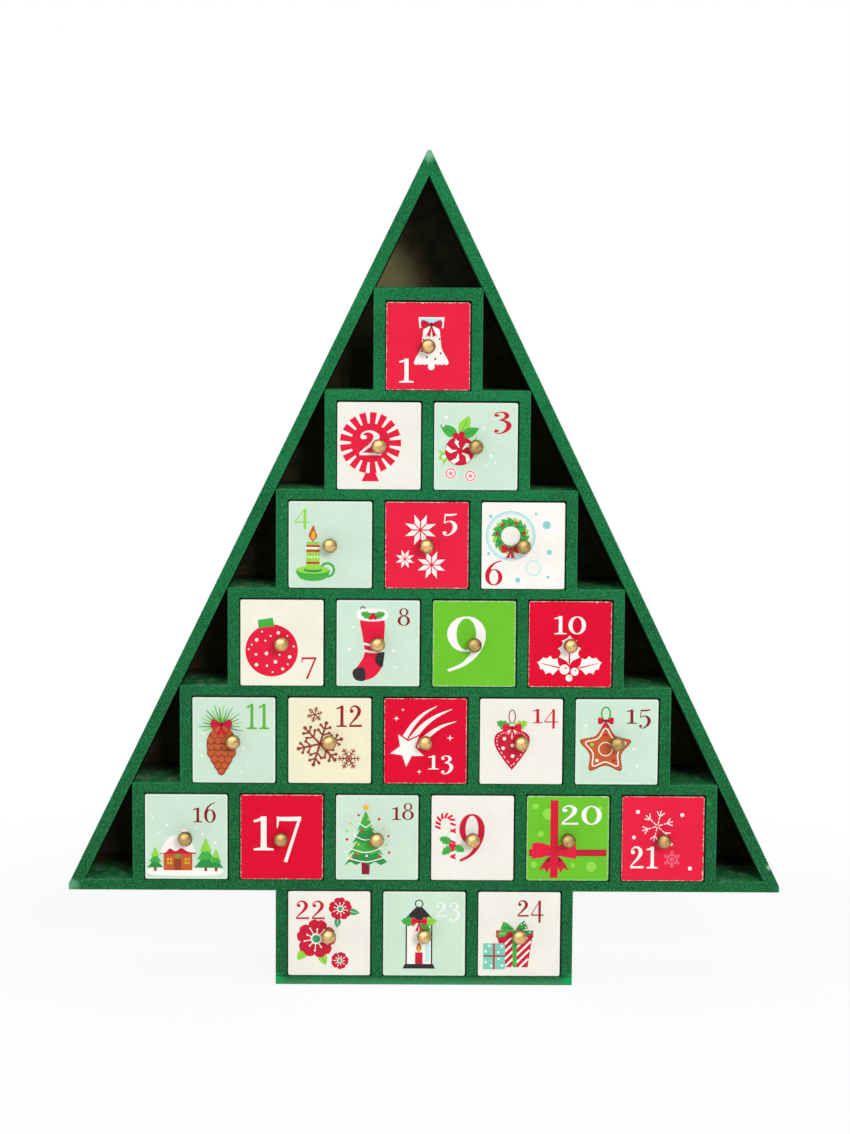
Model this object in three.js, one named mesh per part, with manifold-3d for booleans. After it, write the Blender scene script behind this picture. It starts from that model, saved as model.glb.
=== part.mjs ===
// A tree-shaped advent calendar: a painted board tree with 24 small drawers, each with a ball knob.
// Millimetres, +Z up, the drawers open towards -Y. The origin is the middle of the trunk's foot.

import * as THREE from "three";
import { mergeVertices } from "three/addons/utils/BufferGeometryUtils.js";
import Module from "manifold-3d";

const wasm = await Module();
wasm.setup();

// The grid of cells: the tree's rows hold 1, 2, 3 and so on, and the trunk holds one row of its own.
const TREE_ROWS = 6;
const TRUNK_CELLS = 3;
const CELL_WIDTH = 42; // clear width between two uprights
const CELL_HEIGHT = 43.8; // clear height between two shelves

// The boards
const WALL = 6; // thickness of the roof boards and the uprights
const SHELF = 5.5; // thickness of the shelves and the base board
const CAP = 1.5; // how much thicker than the others the uppermost shelf is, between the roof boards
const FLOOR = 4.5; // thickness of the trunk's floor
const DEPTH = 60; // every board of the carcass, front to back
const BACK = 2.5; // thickness of the sheet that closes the back
const HOUSING = 2.6; // how deep an upright's end sits in the board that it meets
const GLUE = 0.1; // the glue line round an upright's housed end
const ROOF_SEAT = 0.3; // between a roof board and what it is glued along
const TIP_CUT = 1.6; // how much of the sharp apex is sanded away
const TOE_CUT = 1.5; // how much of each sharp lower corner is sanded away

// The drawers
const SIDE_PLAY = 0.3; // between a drawer and each upright beside it
const TOP_PLAY = 0.45; // between a drawer's front and the shelf above it
const FOOT_PLAY = 0.15; // between a drawer's bottom and the shelf that it slides on
const BACK_PLAY = 0.3; // between a closed drawer and the back sheet
const FRONT = 5; // thickness of a drawer's front
const TRAY_WALL = 3; // thickness of a tray's sides and back
const TRAY_BOTTOM = 3; // thickness of a tray's bottom
const TRAY_DROP = 3; // how much lower than the front the tray's sides are

// The knobs, each a turned ball on a short neck with a nail that goes through the drawer's front
const BALL_RADIUS = 3.65;
const COLLAR_RADIUS = 2.6;
const COLLAR_LENGTH = 0.8;
const NECK_RADIUS = 1.7;
const NECK_LENGTH = 1.8; // between the collar and the ball
const NAIL_RADIUS = 1;
const NAIL_SHORT = 0.5; // how far the nail stays inside the front
const NAIL_PLAY = 0.3; // round the nail
const KNOB_SIDES = 10;
const BALL_RINGS = 5;

// Sizes that follow
const PITCH_X = CELL_WIDTH + WALL;
const PITCH_Z = CELL_HEIGHT + SHELF;
const SLOPE = PITCH_X / 2 / PITCH_Z; // sideways run of a roof board for each unit of height
const LEAN = Math.hypot(1, SLOPE); // a thickness across a roof board, measured level, is this much wider
const BASE_BOTTOM = FLOOR + CELL_HEIGHT;
const BASE_TOP = BASE_BOTTOM + SHELF;
const CROWN = BASE_TOP + TREE_ROWS * PITCH_Z; // top of the uppermost shelf's ends
const HOUSED = HOUSING - GLUE; // length of an upright's housed end

const tierWidth = (cells) => cells * PITCH_X + WALL;
const shelfTop = (row) => CROWN - (row - 1) * PITCH_Z; // row 1 is the top row
const roofInside = (z) => tierWidth(1) / 2 + ROOF_SEAT * LEAN + (CROWN - z) * SLOPE;
const roofOutside = (z) => roofInside(z) + WALL * LEAN;
const heightOfRoofInside = (x) => CROWN - (x - tierWidth(1) / 2 - ROOF_SEAT * LEAN) / SLOPE;
const INNER_APEX = heightOfRoofInside(0);
const OUTER_APEX = heightOfRoofInside(-WALL * LEAN);
const TIP = OUTER_APEX - TIP_CUT;
const TOE = roofOutside(BASE_BOTTOM) - TOE_CUT;

// The places of a row's cells, and of the uprights between and beside them
const cellCentres = (cells) => Array.from({ length: cells }, (_, k) => (k - (cells - 1) / 2) * PITCH_X);
const uprightCentres = (cells) => cellCentres(cells + 1);

// Colours, as sRGB
const GREEN = "#246a3c";
const DARK_GREEN = "#1c4a2c";
const BRASS = "#b8954f";
const RED = "#e92246";
const CREAM = "#f4f1e3";
const PALE_YELLOW = "#f6efd1";
const MINT = "#cfe7d2";
const LEAF = "#7ac437";
const GROUNDS = [
  RED, CREAM, MINT, MINT, RED, CREAM, CREAM, MINT,
  LEAF, RED, MINT, PALE_YELLOW, RED, CREAM, MINT, MINT,
  RED, MINT, CREAM, LEAF, RED, CREAM, MINT, CREAM,
];

const paint = (color) => new THREE.MeshStandardMaterial({ color, roughness: 0.6, metalness: 0 });
const metal = (color) => new THREE.MeshStandardMaterial({ color, roughness: 0.35, metalness: 1 });

const calendar = new THREE.Group();

// Adds a named mesh to a group.
function add(group, name, geometry, material) {
  const mesh = new THREE.Mesh(geometry, material);
  mesh.name = name;
  group.add(mesh);
  return mesh;
}

// A board or sheet: an outline of [x, z] points in front view, extruded from the front to the back.
function board(outline, front, thickness) {
  const shape = new THREE.Shape(outline.map(([x, z]) => new THREE.Vector2(x, z)));
  const geometry = new THREE.ExtrudeGeometry(shape, { depth: thickness, bevelEnabled: false });
  geometry.rotateX(Math.PI / 2); // the outline's y becomes z, and the extrusion runs towards -Y
  geometry.translate(0, front + thickness, 0);
  return geometry;
}

// A shelf or base outline from left to right along its top, with housings cut for what stands on it.
function housedTop(top, uprights) {
  const half = WALL / 2 + GLUE;
  return uprights.flatMap((x) => [
    [x - half, top],
    [x - half, top - HOUSING],
    [x + half, top - HOUSING],
    [x + half, top],
  ]);
}

// The same from right to left along an underside, with housings for uprights that come up from below.
function housedUnderside(bottom, uprights) {
  const half = WALL / 2 + GLUE;
  return [...uprights].reverse().flatMap((x) => [
    [x + half, bottom],
    [x + half, bottom + HOUSING],
    [x - half, bottom + HOUSING],
    [x - half, bottom],
  ]);
}

// The thicker middle of the uppermost shelf, cut to the roof boards' slope, from left to right
function cap() {
  const half = tierWidth(1) / 2 - CAP * SLOPE;
  return [
    [-half, CROWN + CAP],
    [half, CROWN + CAP],
  ];
}

// A row of the tree: its shelf, and the uprights under it, which are housed in the next board down.
function tier(row) {
  const top = shelfTop(row);
  const bottom = top - SHELF;
  const foot = shelfTop(row + 1) - HOUSED;
  const side = tierWidth(row) / 2;
  const above = row > 1 ? housedTop(top, uprightCentres(row - 1)) : cap();
  const legs = [...uprightCentres(row)].reverse().flatMap((x) => [
    [x + WALL / 2, bottom],
    [x + WALL / 2, foot],
    [x - WALL / 2, foot],
    [x - WALL / 2, bottom],
  ]);
  // The outermost legs continue the shelf's ends, so the points at their outer top corners drop out.
  const outline = [[-side, top], ...above, [side, top], ...legs.slice(1, -1)];
  return board(outline, -DEPTH / 2, DEPTH);
}

// The board that closes the tree's foot, between the roof boards, with its ends cut to their slope
function baseBoard() {
  const end = (z) => roofInside(z) - ROOF_SEAT * LEAN;
  return board(
    [
      [-end(BASE_TOP), BASE_TOP],
      ...housedTop(BASE_TOP, uprightCentres(TREE_ROWS)),
      [end(BASE_TOP), BASE_TOP],
      [end(BASE_BOTTOM), BASE_BOTTOM],
      ...housedUnderside(BASE_BOTTOM, uprightCentres(TRUNK_CELLS)),
      [-end(BASE_BOTTOM), BASE_BOTTOM],
    ],
    -DEPTH / 2,
    DEPTH,
  );
}

// The trunk: a floor with uprights on it, housed in the base board's underside.
function trunkFrame() {
  const side = tierWidth(TRUNK_CELLS) / 2;
  const top = BASE_BOTTOM + HOUSED;
  const posts = uprightCentres(TRUNK_CELLS).flatMap((x) => [
    [x - WALL / 2, FLOOR],
    [x - WALL / 2, top],
    [x + WALL / 2, top],
    [x + WALL / 2, FLOOR],
  ]);
  return board([[-side, 0], ...posts.slice(1, -1), [side, 0]], -DEPTH / 2, DEPTH);
}

// A roof board, mitred with the other one at the apex. side is -1 for the left one and 1 for the right.
function roofBoard(side) {
  const outline = [
    [0, INNER_APEX],
    [roofInside(BASE_BOTTOM), BASE_BOTTOM],
    [TOE, BASE_BOTTOM],
    [TOE, BASE_BOTTOM + TOE_CUT / SLOPE],
    [roofOutside(TIP), TIP],
    [0, TIP],
  ];
  return board(
    outline.map(([x, z]) => [side * x, z]),
    -DEPTH / 2,
    DEPTH,
  );
}

// The sheet that closes the back, to the outline of the whole tree
function backPanel() {
  const trunk = tierWidth(TRUNK_CELLS) / 2;
  const right = [
    [roofOutside(TIP), TIP],
    [TOE, BASE_BOTTOM + TOE_CUT / SLOPE],
    [TOE, BASE_BOTTOM],
    [trunk, BASE_BOTTOM],
    [trunk, 0],
  ];
  const left = [...right].reverse().map(([x, z]) => [-x, z]);
  return board([...right, ...left], DEPTH / 2, BACK);
}

// A closed three.js geometry as a solid that can be joined and cut
function solid(geometry) {
  const points = geometry.clone();
  points.deleteAttribute("normal");
  points.deleteAttribute("uv");
  const merged = mergeVertices(points, 1e-4);
  return new wasm.Manifold(
    new wasm.Mesh({
      numProp: 3,
      vertProperties: Float32Array.from(merged.attributes.position.array),
      triVerts: Uint32Array.from(merged.index.array),
    }),
  );
}

// A solid as a three.js geometry again
function geometryOf(made) {
  const mesh = made.getMesh();
  const geometry = new THREE.BufferGeometry();
  geometry.setAttribute("position", new THREE.BufferAttribute(Float32Array.from(mesh.vertProperties), 3));
  geometry.setIndex(new THREE.BufferAttribute(Uint32Array.from(mesh.triVerts), 1));
  geometry.computeVertexNormals();
  return geometry;
}

// A block from its low corner to its high corner
function block([x0, y0, z0], [x1, y1, z1]) {
  const geometry = new THREE.BoxGeometry(x1 - x0, y1 - y0, z1 - z0);
  geometry.translate((x0 + x1) / 2, (y0 + y1) / 2, (z0 + z1) / 2);
  return solid(geometry);
}

const DRAWER_WIDTH = CELL_WIDTH - 2 * SIDE_PLAY;
const DRAWER_HEIGHT = CELL_HEIGHT - TOP_PLAY - FOOT_PLAY;
const DRAWER_DEPTH = DEPTH - BACK_PLAY;

// A drawer in its own frame: the front's face is at y = 0, the tray runs back along +Y, the bottom is at
// z = 0. A hole through the middle of the front takes the knob's nail.
function drawer() {
  const half = DRAWER_WIDTH / 2;
  const front = block([-half, 0, 0], [half, FRONT, DRAWER_HEIGHT]);
  const tray = block([-half, 0, 0], [half, DRAWER_DEPTH, DRAWER_HEIGHT - TRAY_DROP]);
  const hollow = block(
    [TRAY_WALL - half, FRONT, TRAY_BOTTOM],
    [half - TRAY_WALL, DRAWER_DEPTH - TRAY_WALL, DRAWER_HEIGHT + FRONT],
  );
  const boreRadius = NAIL_RADIUS + NAIL_PLAY;
  const bore = new THREE.CylinderGeometry(boreRadius, boreRadius, 3 * FRONT, KNOB_SIDES);
  bore.translate(0, 0, DRAWER_HEIGHT / 2);
  return geometryOf(front.add(tray).subtract(hollow).subtract(solid(bore)));
}

// A knob in its own frame: its axis is Y, its collar's back is at y = 0 and the ball stands out along -Y.
function knob() {
  const ballBack = COLLAR_LENGTH + NECK_LENGTH; // where the neck meets the ball
  const ballCentre = ballBack + Math.sqrt(BALL_RADIUS ** 2 - NECK_RADIUS ** 2);
  const start = Math.acos((ballCentre - ballBack) / BALL_RADIUS);
  const ball = Array.from({ length: BALL_RINGS }, (_, k) => {
    const turn = start + ((Math.PI - start) * (k + 1)) / (BALL_RINGS + 1);
    return [BALL_RADIUS * Math.sin(turn), ballCentre - BALL_RADIUS * Math.cos(turn)];
  });
  const profile = [
    [0, NAIL_SHORT - FRONT],
    [NAIL_RADIUS, NAIL_SHORT - FRONT],
    [NAIL_RADIUS, 0],
    [COLLAR_RADIUS, 0],
    [COLLAR_RADIUS, COLLAR_LENGTH],
    [NECK_RADIUS, COLLAR_LENGTH],
    [NECK_RADIUS, ballBack],
    ...ball,
    [0, ballCentre + BALL_RADIUS],
  ];
  const geometry = new THREE.LatheGeometry(
    profile.map(([radius, out]) => new THREE.Vector2(radius, out)),
    KNOB_SIDES,
  );
  geometry.rotateX(Math.PI); // the profile's +Y turns to -Y
  return geometry;
}

// The carcass
for (let row = 1; row <= TREE_ROWS; row += 1) add(calendar, `tier_${row}`, tier(row), paint(GREEN));
add(calendar, "base_board", baseBoard(), paint(GREEN));
add(calendar, "trunk_frame", trunkFrame(), paint(GREEN));
add(calendar, "roof_left", roofBoard(-1), paint(GREEN));
add(calendar, "roof_right", roofBoard(1), paint(GREEN));
add(calendar, "back_panel", backPanel(), paint(DARK_GREEN));

// The drawers, numbered from left to right and from the top row to the trunk
const rows = [...Array.from({ length: TREE_ROWS }, (_, k) => k + 1), TRUNK_CELLS];
const drawerGeometry = drawer();
const knobGeometry = knob();
let number = 0;
rows.forEach((cells, index) => {
  const sill = shelfTop(index + 2);
  cellCentres(cells).forEach((x) => {
    number += 1;
    const label = String(number).padStart(2, "0");
    const place = new THREE.Group();
    place.position.set(x, -DEPTH / 2, sill);
    const ground = GROUNDS[(number - 1) % GROUNDS.length];
    add(place, `drawer_${label}`, drawerGeometry, paint(ground)).position.z = FOOT_PLAY;
    add(place, `knob_${label}`, knobGeometry, metal(BRASS)).position.z = FOOT_PLAY + DRAWER_HEIGHT / 2;
    calendar.add(place);
  });
});

export default calendar;
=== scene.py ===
"""The looks of the tree advent calendar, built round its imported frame.

Lengths are in millimetres and become metres where a mesh is made. +X is to the right, the drawers open
towards -Y and +Z is up. A drawer's print is laid out in its own frame: x to the right and z up from the
middle of its face.
"""

import logging
from collections.abc import Callable, Iterable, Sequence
from dataclasses import dataclass
from enum import Enum
from functools import cache
from math import atan2, ceil, cos, degrees, hypot, pi, radians, sin

import bmesh
import bpy
from mathutils import Matrix, Vector


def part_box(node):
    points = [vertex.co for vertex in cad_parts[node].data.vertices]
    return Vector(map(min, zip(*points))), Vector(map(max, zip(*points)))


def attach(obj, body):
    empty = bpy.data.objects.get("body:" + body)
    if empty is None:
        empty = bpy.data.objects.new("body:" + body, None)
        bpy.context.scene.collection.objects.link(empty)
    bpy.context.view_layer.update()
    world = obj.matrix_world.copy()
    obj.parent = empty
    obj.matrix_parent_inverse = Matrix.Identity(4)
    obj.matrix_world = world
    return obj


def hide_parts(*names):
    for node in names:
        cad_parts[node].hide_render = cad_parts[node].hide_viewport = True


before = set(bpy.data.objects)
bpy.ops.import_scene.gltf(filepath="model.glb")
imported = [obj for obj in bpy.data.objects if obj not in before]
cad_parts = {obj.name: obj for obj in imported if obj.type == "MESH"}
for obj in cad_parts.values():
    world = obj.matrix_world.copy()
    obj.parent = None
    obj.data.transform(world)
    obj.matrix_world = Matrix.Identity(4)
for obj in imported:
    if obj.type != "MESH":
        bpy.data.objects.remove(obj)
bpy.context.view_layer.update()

log = logging.getLogger("calendar")

MM = 0.001
HAIR = 0.01  # millimetres within which two places are the same
FACING = 0.7  # the least part of a face's normal along the way that it looks
ALONG = 0.9  # the least part of an edge's direction along an axis
FLAT = radians(0.5)  # an edge between faces that are this flat isn't needed
SHARP = radians(12)  # an arris from this angle up is rounded
SMOOTH = radians(35)  # faces up to this angle are shaded as one surface
PAINT_SHINE = 0.14  # the specular level of paint and ink
MIDDLING = (0.3, 0.7)  # where most of a noise's values lie
Point = tuple[float, float]
Brushed = tuple[float, float, float]
Colour = tuple[int, int, int]
Socket = bpy.types.NodeSocket
Faces = list[tuple[int, ...]]
EdgeTest = Callable[[Vector, Vector], bool]
Value = Socket | float
Setting = Socket | float | Sequence[float]


# The calendar's layout


@dataclass(frozen=True)
class Layout:
    """The grid of cells and the boards round it, as packed, but with the joints closed up by paint."""

    tree_rows: int = 6
    trunk_cells: int = 3
    cell_width: float = 42.0
    cell_height: float = 43.8
    wall: float = 6.0
    shelf: float = 5.5
    floor: float = 4.5
    front: float = -30.0
    depth: float = 60.0
    back: float = 2.5
    housing: float = 2.6
    glue: float = 0.02
    roof_seat: float = 0.3
    cap: float = 1.5
    tip_cut: float = 1.6
    toe_cut: float = 1.5

    @property
    def pitch_x(self) -> float:
        """The distance between two cells in a row."""
        return self.cell_width + self.wall

    @property
    def pitch_z(self) -> float:
        """The distance between two rows."""
        return self.cell_height + self.shelf

    @property
    def slope(self) -> float:
        """The sideways run of a roof board for each unit of height."""
        return self.pitch_x / 2 / self.pitch_z

    @property
    def lean(self) -> float:
        """How much wider a thickness across a roof board is when it is measured level."""
        return hypot(1, self.slope)

    @property
    def base_bottom(self) -> float:
        """The underside of the base board."""
        return self.floor + self.cell_height

    @property
    def base_top(self) -> float:
        """The top of the base board."""
        return self.base_bottom + self.shelf

    @property
    def crown(self) -> float:
        """The top of the uppermost shelf's ends."""
        return self.base_top + self.tree_rows * self.pitch_z

    def tier_width(self, cells: int) -> float:
        """The width over the outer uprights of a row of so many cells."""
        return cells * self.pitch_x + self.wall

    def shelf_top(self, row: int) -> float:
        """The top of the shelf over a row; row 1 is the uppermost."""
        return self.crown - (row - 1) * self.pitch_z

    def roof_inside(self, z: float) -> float:
        """How far from the middle a roof board's inner face is at a height."""
        return self.tier_width(1) / 2 + self.roof_seat * self.lean + (self.crown - z) * self.slope

    def roof_outside(self, z: float) -> float:
        """How far from the middle a roof board's outer face is at a height."""
        return self.roof_inside(z) + self.wall * self.lean

    @property
    def tip(self) -> float:
        """The height of the blunted apex."""
        half = self.tier_width(1) / 2 + (self.roof_seat + self.wall) * self.lean
        return self.crown + half / self.slope - self.tip_cut

    @property
    def toe(self) -> float:
        """How far from the middle the blunted lower corners reach."""
        return self.roof_outside(self.base_bottom) - self.toe_cut

    def upright_centres(self, cells: int) -> list[float]:
        """The places of the uprights beside and between a row's cells."""
        return [(k - cells / 2) * self.pitch_x for k in range(cells + 1)]


LAYOUT = Layout()


# Finishes


def linear(colour: Colour) -> tuple[float, float, float, float]:
    """Turns an sRGB colour of 0 to 255 into the linear one that a shader takes.

    Args:
        colour: red, green and blue, each from 0 to 255.

    Returns:
        The linear colour with an alpha of 1.
    """
    parts = [c / 255 for c in colour]
    return (*(p / 12.92 if p <= 0.04045 else ((p + 0.055) / 1.055) ** 2.4 for p in parts), 1.0)


def dimmed(colour: Colour, share: float) -> Colour:
    """A colour at a share of its brightness."""
    red, green, blue = (round(part * share) for part in colour)
    return red, green, blue


class Tree:
    """A node tree, with a short way to add each kind of node that the finishes and the room use."""

    def __init__(self, tree: bpy.types.NodeTree) -> None:
        """Takes up a tree and empties it.

        Args:
            tree: the tree.
        """
        self.nodes, self.links = tree.nodes, tree.links
        self.nodes.clear()

    def feed(self, socket: Socket, value: Setting) -> None:
        """Links a socket to another one, or sets its plain value.

        Args:
            socket: the socket.
            value: the other socket, or the plain value.
        """
        if isinstance(value, bpy.types.NodeSocket):
            self.links.new(value, socket)
        else:
            socket.default_value = value

    def add(self, kind: str, *values: Setting | None, **settings: str) -> bpy.types.Node:
        """Adds a shader node.

        Args:
            kind: the kind of node.
            values: what its first sockets are fed, or None for each that stays as it is.
            settings: its settings by name.

        Returns:
            The node.
        """
        node = self.nodes.new(f"ShaderNode{kind}")
        for name, setting in settings.items():
            setattr(node, name, setting)
        for socket, value in zip(node.inputs, values):
            if value is not None:
                self.feed(socket, value)
        return node

    def maths(self, operation: str, a: Value, b: Value = 0.0, c: Value = 0.0) -> Socket:
        """The result of a Math node on up to three values."""
        return self.add("Math", a, b, c, operation=operation).outputs[0]

    def blend(self, share: Value, a: Value, b: Value) -> Socket:
        """A mix of two numbers with so much of b."""
        return self.add("Mix", share, None, a, b).outputs[0]

    def ramp(self, value: Value, low: float, high: float, bottom: float = 0.0, top: float = 1.0) -> Socket:
        """A smooth step from bottom to top as a value goes from low to high."""
        settings = (value, low, high, bottom, top)
        return self.add("MapRange", *settings, interpolation_type="SMOOTHSTEP").outputs[0]


class Graph(Tree):
    """A material's node tree."""

    def __init__(self, name: str) -> None:
        """Starts a material with nothing but its output and a principled shader.

        Args:
            name: the material's name.
        """
        self.material = bpy.data.materials.new(name)
        self.material.use_nodes = True
        super().__init__(self.material.node_tree)
        self.shader = self.add("BsdfPrincipled")
        self.output = self.add("OutputMaterial", self.shader.outputs[0])
        self.place = self.add("TexCoord").outputs["Object"]

    def noise(
        self, size: float, detail: float = 2.0, roughness: float = 0.5, stretch: Vector | None = None
    ) -> Socket:
        """Adds a noise over the object's own coordinates.

        Args:
            size: the size of its grains.
            detail: how many finer octaves it has.
            roughness: how strong these are.
            stretch: how many times longer the grains are along each axis.

        Returns:
            The noise's value, about 0.5 on average.
        """
        place = self.place
        if stretch is not None:
            place = self.add("Mapping", place, None, None, [1 / s for s in stretch]).outputs[0]
        return self.add("TexNoise", place, None, 1 / (size * MM), detail, roughness).outputs[0]

    def mix(self, share: Value, a: Socket | Colour, b: Socket | Colour) -> Socket:
        """Adds a mix of two colours.

        Args:
            share: how much of b there is, from 0 to 1.
            a: a colour or its socket.
            b: a colour or its socket.

        Returns:
            The mixed colour's socket.
        """
        node = self.add("Mix", share, data_type="RGBA")
        for socket, colour in ((node.inputs[6], a), (node.inputs[7], b)):
            self.feed(socket, linear(colour) if isinstance(colour, tuple) else colour)
        return node.outputs[2]

    def axis(self, vector: Socket, index: int) -> Socket:
        """One of a vector's three parts."""
        return self.add("SeparateXYZ", vector).outputs[index]

    def distance(self, point: Sequence[float]) -> Socket:
        """The distance in metres from a point that is given in millimetres."""
        place = [v * MM for v in point]
        return self.add("VectorMath", self.place, place, operation="DISTANCE").outputs["Value"]

    def bump(self, height: Socket, depth: float, strength: float = 1.0) -> None:
        """Gives the shader a relief.

        Args:
            height: the relief's height, from 0 to 1.
            depth: what that is in millimetres.
            strength: how much of it shows.
        """
        node = self.add("Bump")
        for name, value in (("Strength", strength), ("Distance", depth * MM), ("Height", height)):
            self.feed(node.inputs[name], value)
        self.links.new(node.outputs[0], self.shader.inputs["Normal"])

    def surface(self, colour: Socket, roughness: Value, **plain: float) -> bpy.types.Material:
        """Sets the shader's sockets.

        Args:
            colour: its colour.
            roughness: its roughness.
            plain: plain values for other sockets, named with underscores.

        Returns:
            The material.
        """
        for name, value in {"Base_Color": colour, "Roughness": roughness, **plain}.items():
            self.feed(self.shader.inputs[name.replace("_", " ")], value)
        return self.material


@dataclass(frozen=True)
class Spot:
    """A place on the carcass's front painted a lighter tone, as a painted highlight."""

    x: float
    z: float
    radius: float
    tone: Colour
    share: float = 1.0


# Painted highlights: lighter spots on the apex tip, the roof boards' edges and toes, and the trunk's foot,
# where the paint catches the light.
TIP_HIGHLIGHT: Colour = (113, 184, 144)
FOOT_HIGHLIGHT: Colour = (4, 158, 84)
HIGHLIGHT_SPOTS: tuple[Spot, ...] = (
    Spot(0.0, 418.0, 7.5, TIP_HIGHLIGHT),
    Spot(-179.0, 49.5, 7.0, TIP_HIGHLIGHT, 0.6),
    Spot(179.5, 49.0, 5.0, (22, 112, 92), 0.8),
    Spot(174.5, 61.5, 2.6, (206, 232, 214), 0.6),
    Spot(-75.0, 1.0, 6.5, FOOT_HIGHLIGHT),
    Spot(75.0, 1.5, 7.5, FOOT_HIGHLIGHT),
    Spot(142.8, 93.7, 1.9, (0, 150, 40), 0.8),
)


@dataclass(frozen=True)
class CarcassPaint:
    """Dark green satin paint on fibreboard, with the fine grain that a sprayed coat has."""

    name: str = "paint"
    deep: Colour = (8, 94, 50)
    clear: Colour = (16, 116, 62)
    low: Colour = (17, 77, 37)
    grain: Colour = (52, 156, 100)
    pit: Colour = (2, 56, 28)
    spotted: bool = True
    bottom_shade_share: float = 0.7
    grain_share: float = 0.7
    pit_share: float = 0.65
    rubbed_foot: Colour = (78, 160, 108)
    foot_share: float = 0.55

    def tone(self, graph: Graph) -> Socket:
        """Mixes the paint's colour before any wear, with a painted shade towards the bottom.

        Args:
            graph: the material's nodes.

        Returns:
            The colour's socket.
        """
        cloud = graph.ramp(graph.noise(26.0, 3.0), *MIDDLING)
        colour = graph.mix(cloud, self.deep, self.clear)
        # Painted shade: the paint darkens towards the bottom.
        height = graph.ramp(graph.axis(graph.place, 2), 20 * MM, 360 * MM, self.bottom_shade_share, 0.0)
        colour = graph.mix(height, colour, self.low)
        grain = graph.ramp(graph.noise(0.7, 2.0, 0.7), 0.50, 0.66, 0.0, self.grain_share)
        colour = graph.mix(grain, colour, self.grain)
        pits = graph.ramp(graph.noise(0.8, 2.0, 0.7), 0.51, 0.66, 0.0, self.pit_share)
        colour = graph.mix(pits, colour, self.pit)
        foot = graph.ramp(graph.axis(graph.place, 2), 0.2 * MM, 4.8 * MM, self.foot_share, 0.0)
        colour = graph.mix(foot, colour, self.rubbed_foot)
        # The spots paint highlights onto the front of the carcass.
        if self.spotted:
            cloud = graph.noise(4.0, 3.0, 0.6)
            for spot in HIGHLIGHT_SPOTS:
                near = graph.distance((spot.x, LAYOUT.front, spot.z))
                reach = spot.radius * MM
                blurred = graph.maths("MULTIPLY_ADD", cloud, reach * 0.9, near)
                share = graph.ramp(blurred, reach * 0.7, reach * 1.35, spot.share, 0.0)
                colour = graph.mix(share, colour, spot.tone)
        return colour

    def relief(self, graph: Graph) -> None:
        """The coat's orange peel."""
        graph.bump(graph.noise(0.9, 3.0, 0.6), 0.10, 0.35)

    def build(self) -> bpy.types.Material:
        """Makes the material.

        Returns:
            The material.
        """
        graph = Graph(self.name)
        self.relief(graph)
        rough = graph.ramp(graph.noise(3.0), *MIDDLING, 0.46, 0.6)
        return graph.surface(self.tone(graph), rough, Specular_IOR_Level=PAINT_SHINE)


@dataclass(frozen=True)
class ArrisPaintWithHighlight(CarcassPaint):
    """The same paint over an arris, mixed lighter as a painted highlight along it, with pale worn marks in
    places.
    """

    name: str = "paint_at_arrises_with_highlight"
    # rubbed is the lighter green of the painted highlight along the arris; bare is the pale colour of worn
    # marks.
    rubbed: Colour = (52, 132, 86)
    bare: Colour = (160, 198, 166)

    def build(self) -> bpy.types.Material:
        """Makes the material.

        Returns:
            The material.
        """
        graph = Graph(self.name)
        # Painted highlight: most of the arris is mixed towards the lighter green.
        thin = graph.ramp(graph.noise(2.4, 3.0), 0.34, 0.62, 0.25, 0.95)
        colour = graph.mix(thin, self.tone(graph), self.rubbed)
        colour = graph.mix(graph.ramp(graph.noise(1.5, 4.0, 0.7), 0.64, 0.70), colour, self.bare)
        self.relief(graph)
        rough = graph.ramp(graph.noise(3.0), *MIDDLING, 0.42, 0.58)
        return graph.surface(colour, rough, Specular_IOR_Level=PAINT_SHINE)


@dataclass(frozen=True)
class CellPaint(CarcassPaint):
    """The inside of the cells: painted shade, the paint darkening from the front inwards to a dark board,
    with a painted pool of light low on the left at the back of the apex niche.
    """

    name: str = "paint_with_painted_shade_inwards"
    spotted: bool = False
    # board and dusty are dark board tones that stand in for shade; pale is the painted pool of light.
    board: Colour = (54, 50, 34)
    dusty: Colour = (74, 69, 50)
    pale: Colour = (132, 126, 87)
    painted_light_at: tuple[float, float, float] = (-28.0, 30.0, 350.0)
    painted_light_reach: tuple[float, float] = (13.0, 36.0)
    dust_tone: Colour = (150, 178, 146)
    starts: float = -21.0
    ends: float = 2.0
    wander: float = 14.0
    dust: float = 0.0

    def build(self) -> bpy.types.Material:
        """Makes the material.

        Returns:
            The material.
        """
        graph = Graph(self.name)
        bare = graph.mix(graph.ramp(graph.noise(7.0, 3.0), *MIDDLING), self.board, self.dusty)
        # Painted pool of light: the board is pale round a point low on the left at the back of the apex
        # niche.
        near = graph.maths("MULTIPLY_ADD", graph.noise(6.0, 3.0), 6 * MM, graph.distance(self.painted_light_at))
        close, far = (reach * MM for reach in self.painted_light_reach)
        bare = graph.mix(graph.ramp(near, close, far, 1.0, 0.0), bare, self.pale)
        # Painted shade: the paint gives way to the dark board with depth, along a wandering line.
        shade_depth, reach = graph.noise(9.0, 3.0), self.wander * MM
        shade_depth = graph.maths("MULTIPLY_ADD", shade_depth, reach, graph.axis(graph.place, 1))
        mean = self.wander / 2
        depth = graph.ramp(shade_depth, (self.starts + mean) * MM, (self.ends + mean) * MM)
        dust = graph.ramp(graph.noise(5.0, 5.0, 0.75, Vector((1, 2, 1))), 0.48, 0.68, 0.0, self.dust)
        painted = graph.mix(dust, self.tone(graph), self.dust_tone)
        self.relief(graph)
        return graph.surface(graph.mix(depth, painted, bare), 0.72, Specular_IOR_Level=PAINT_SHINE)


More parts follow.
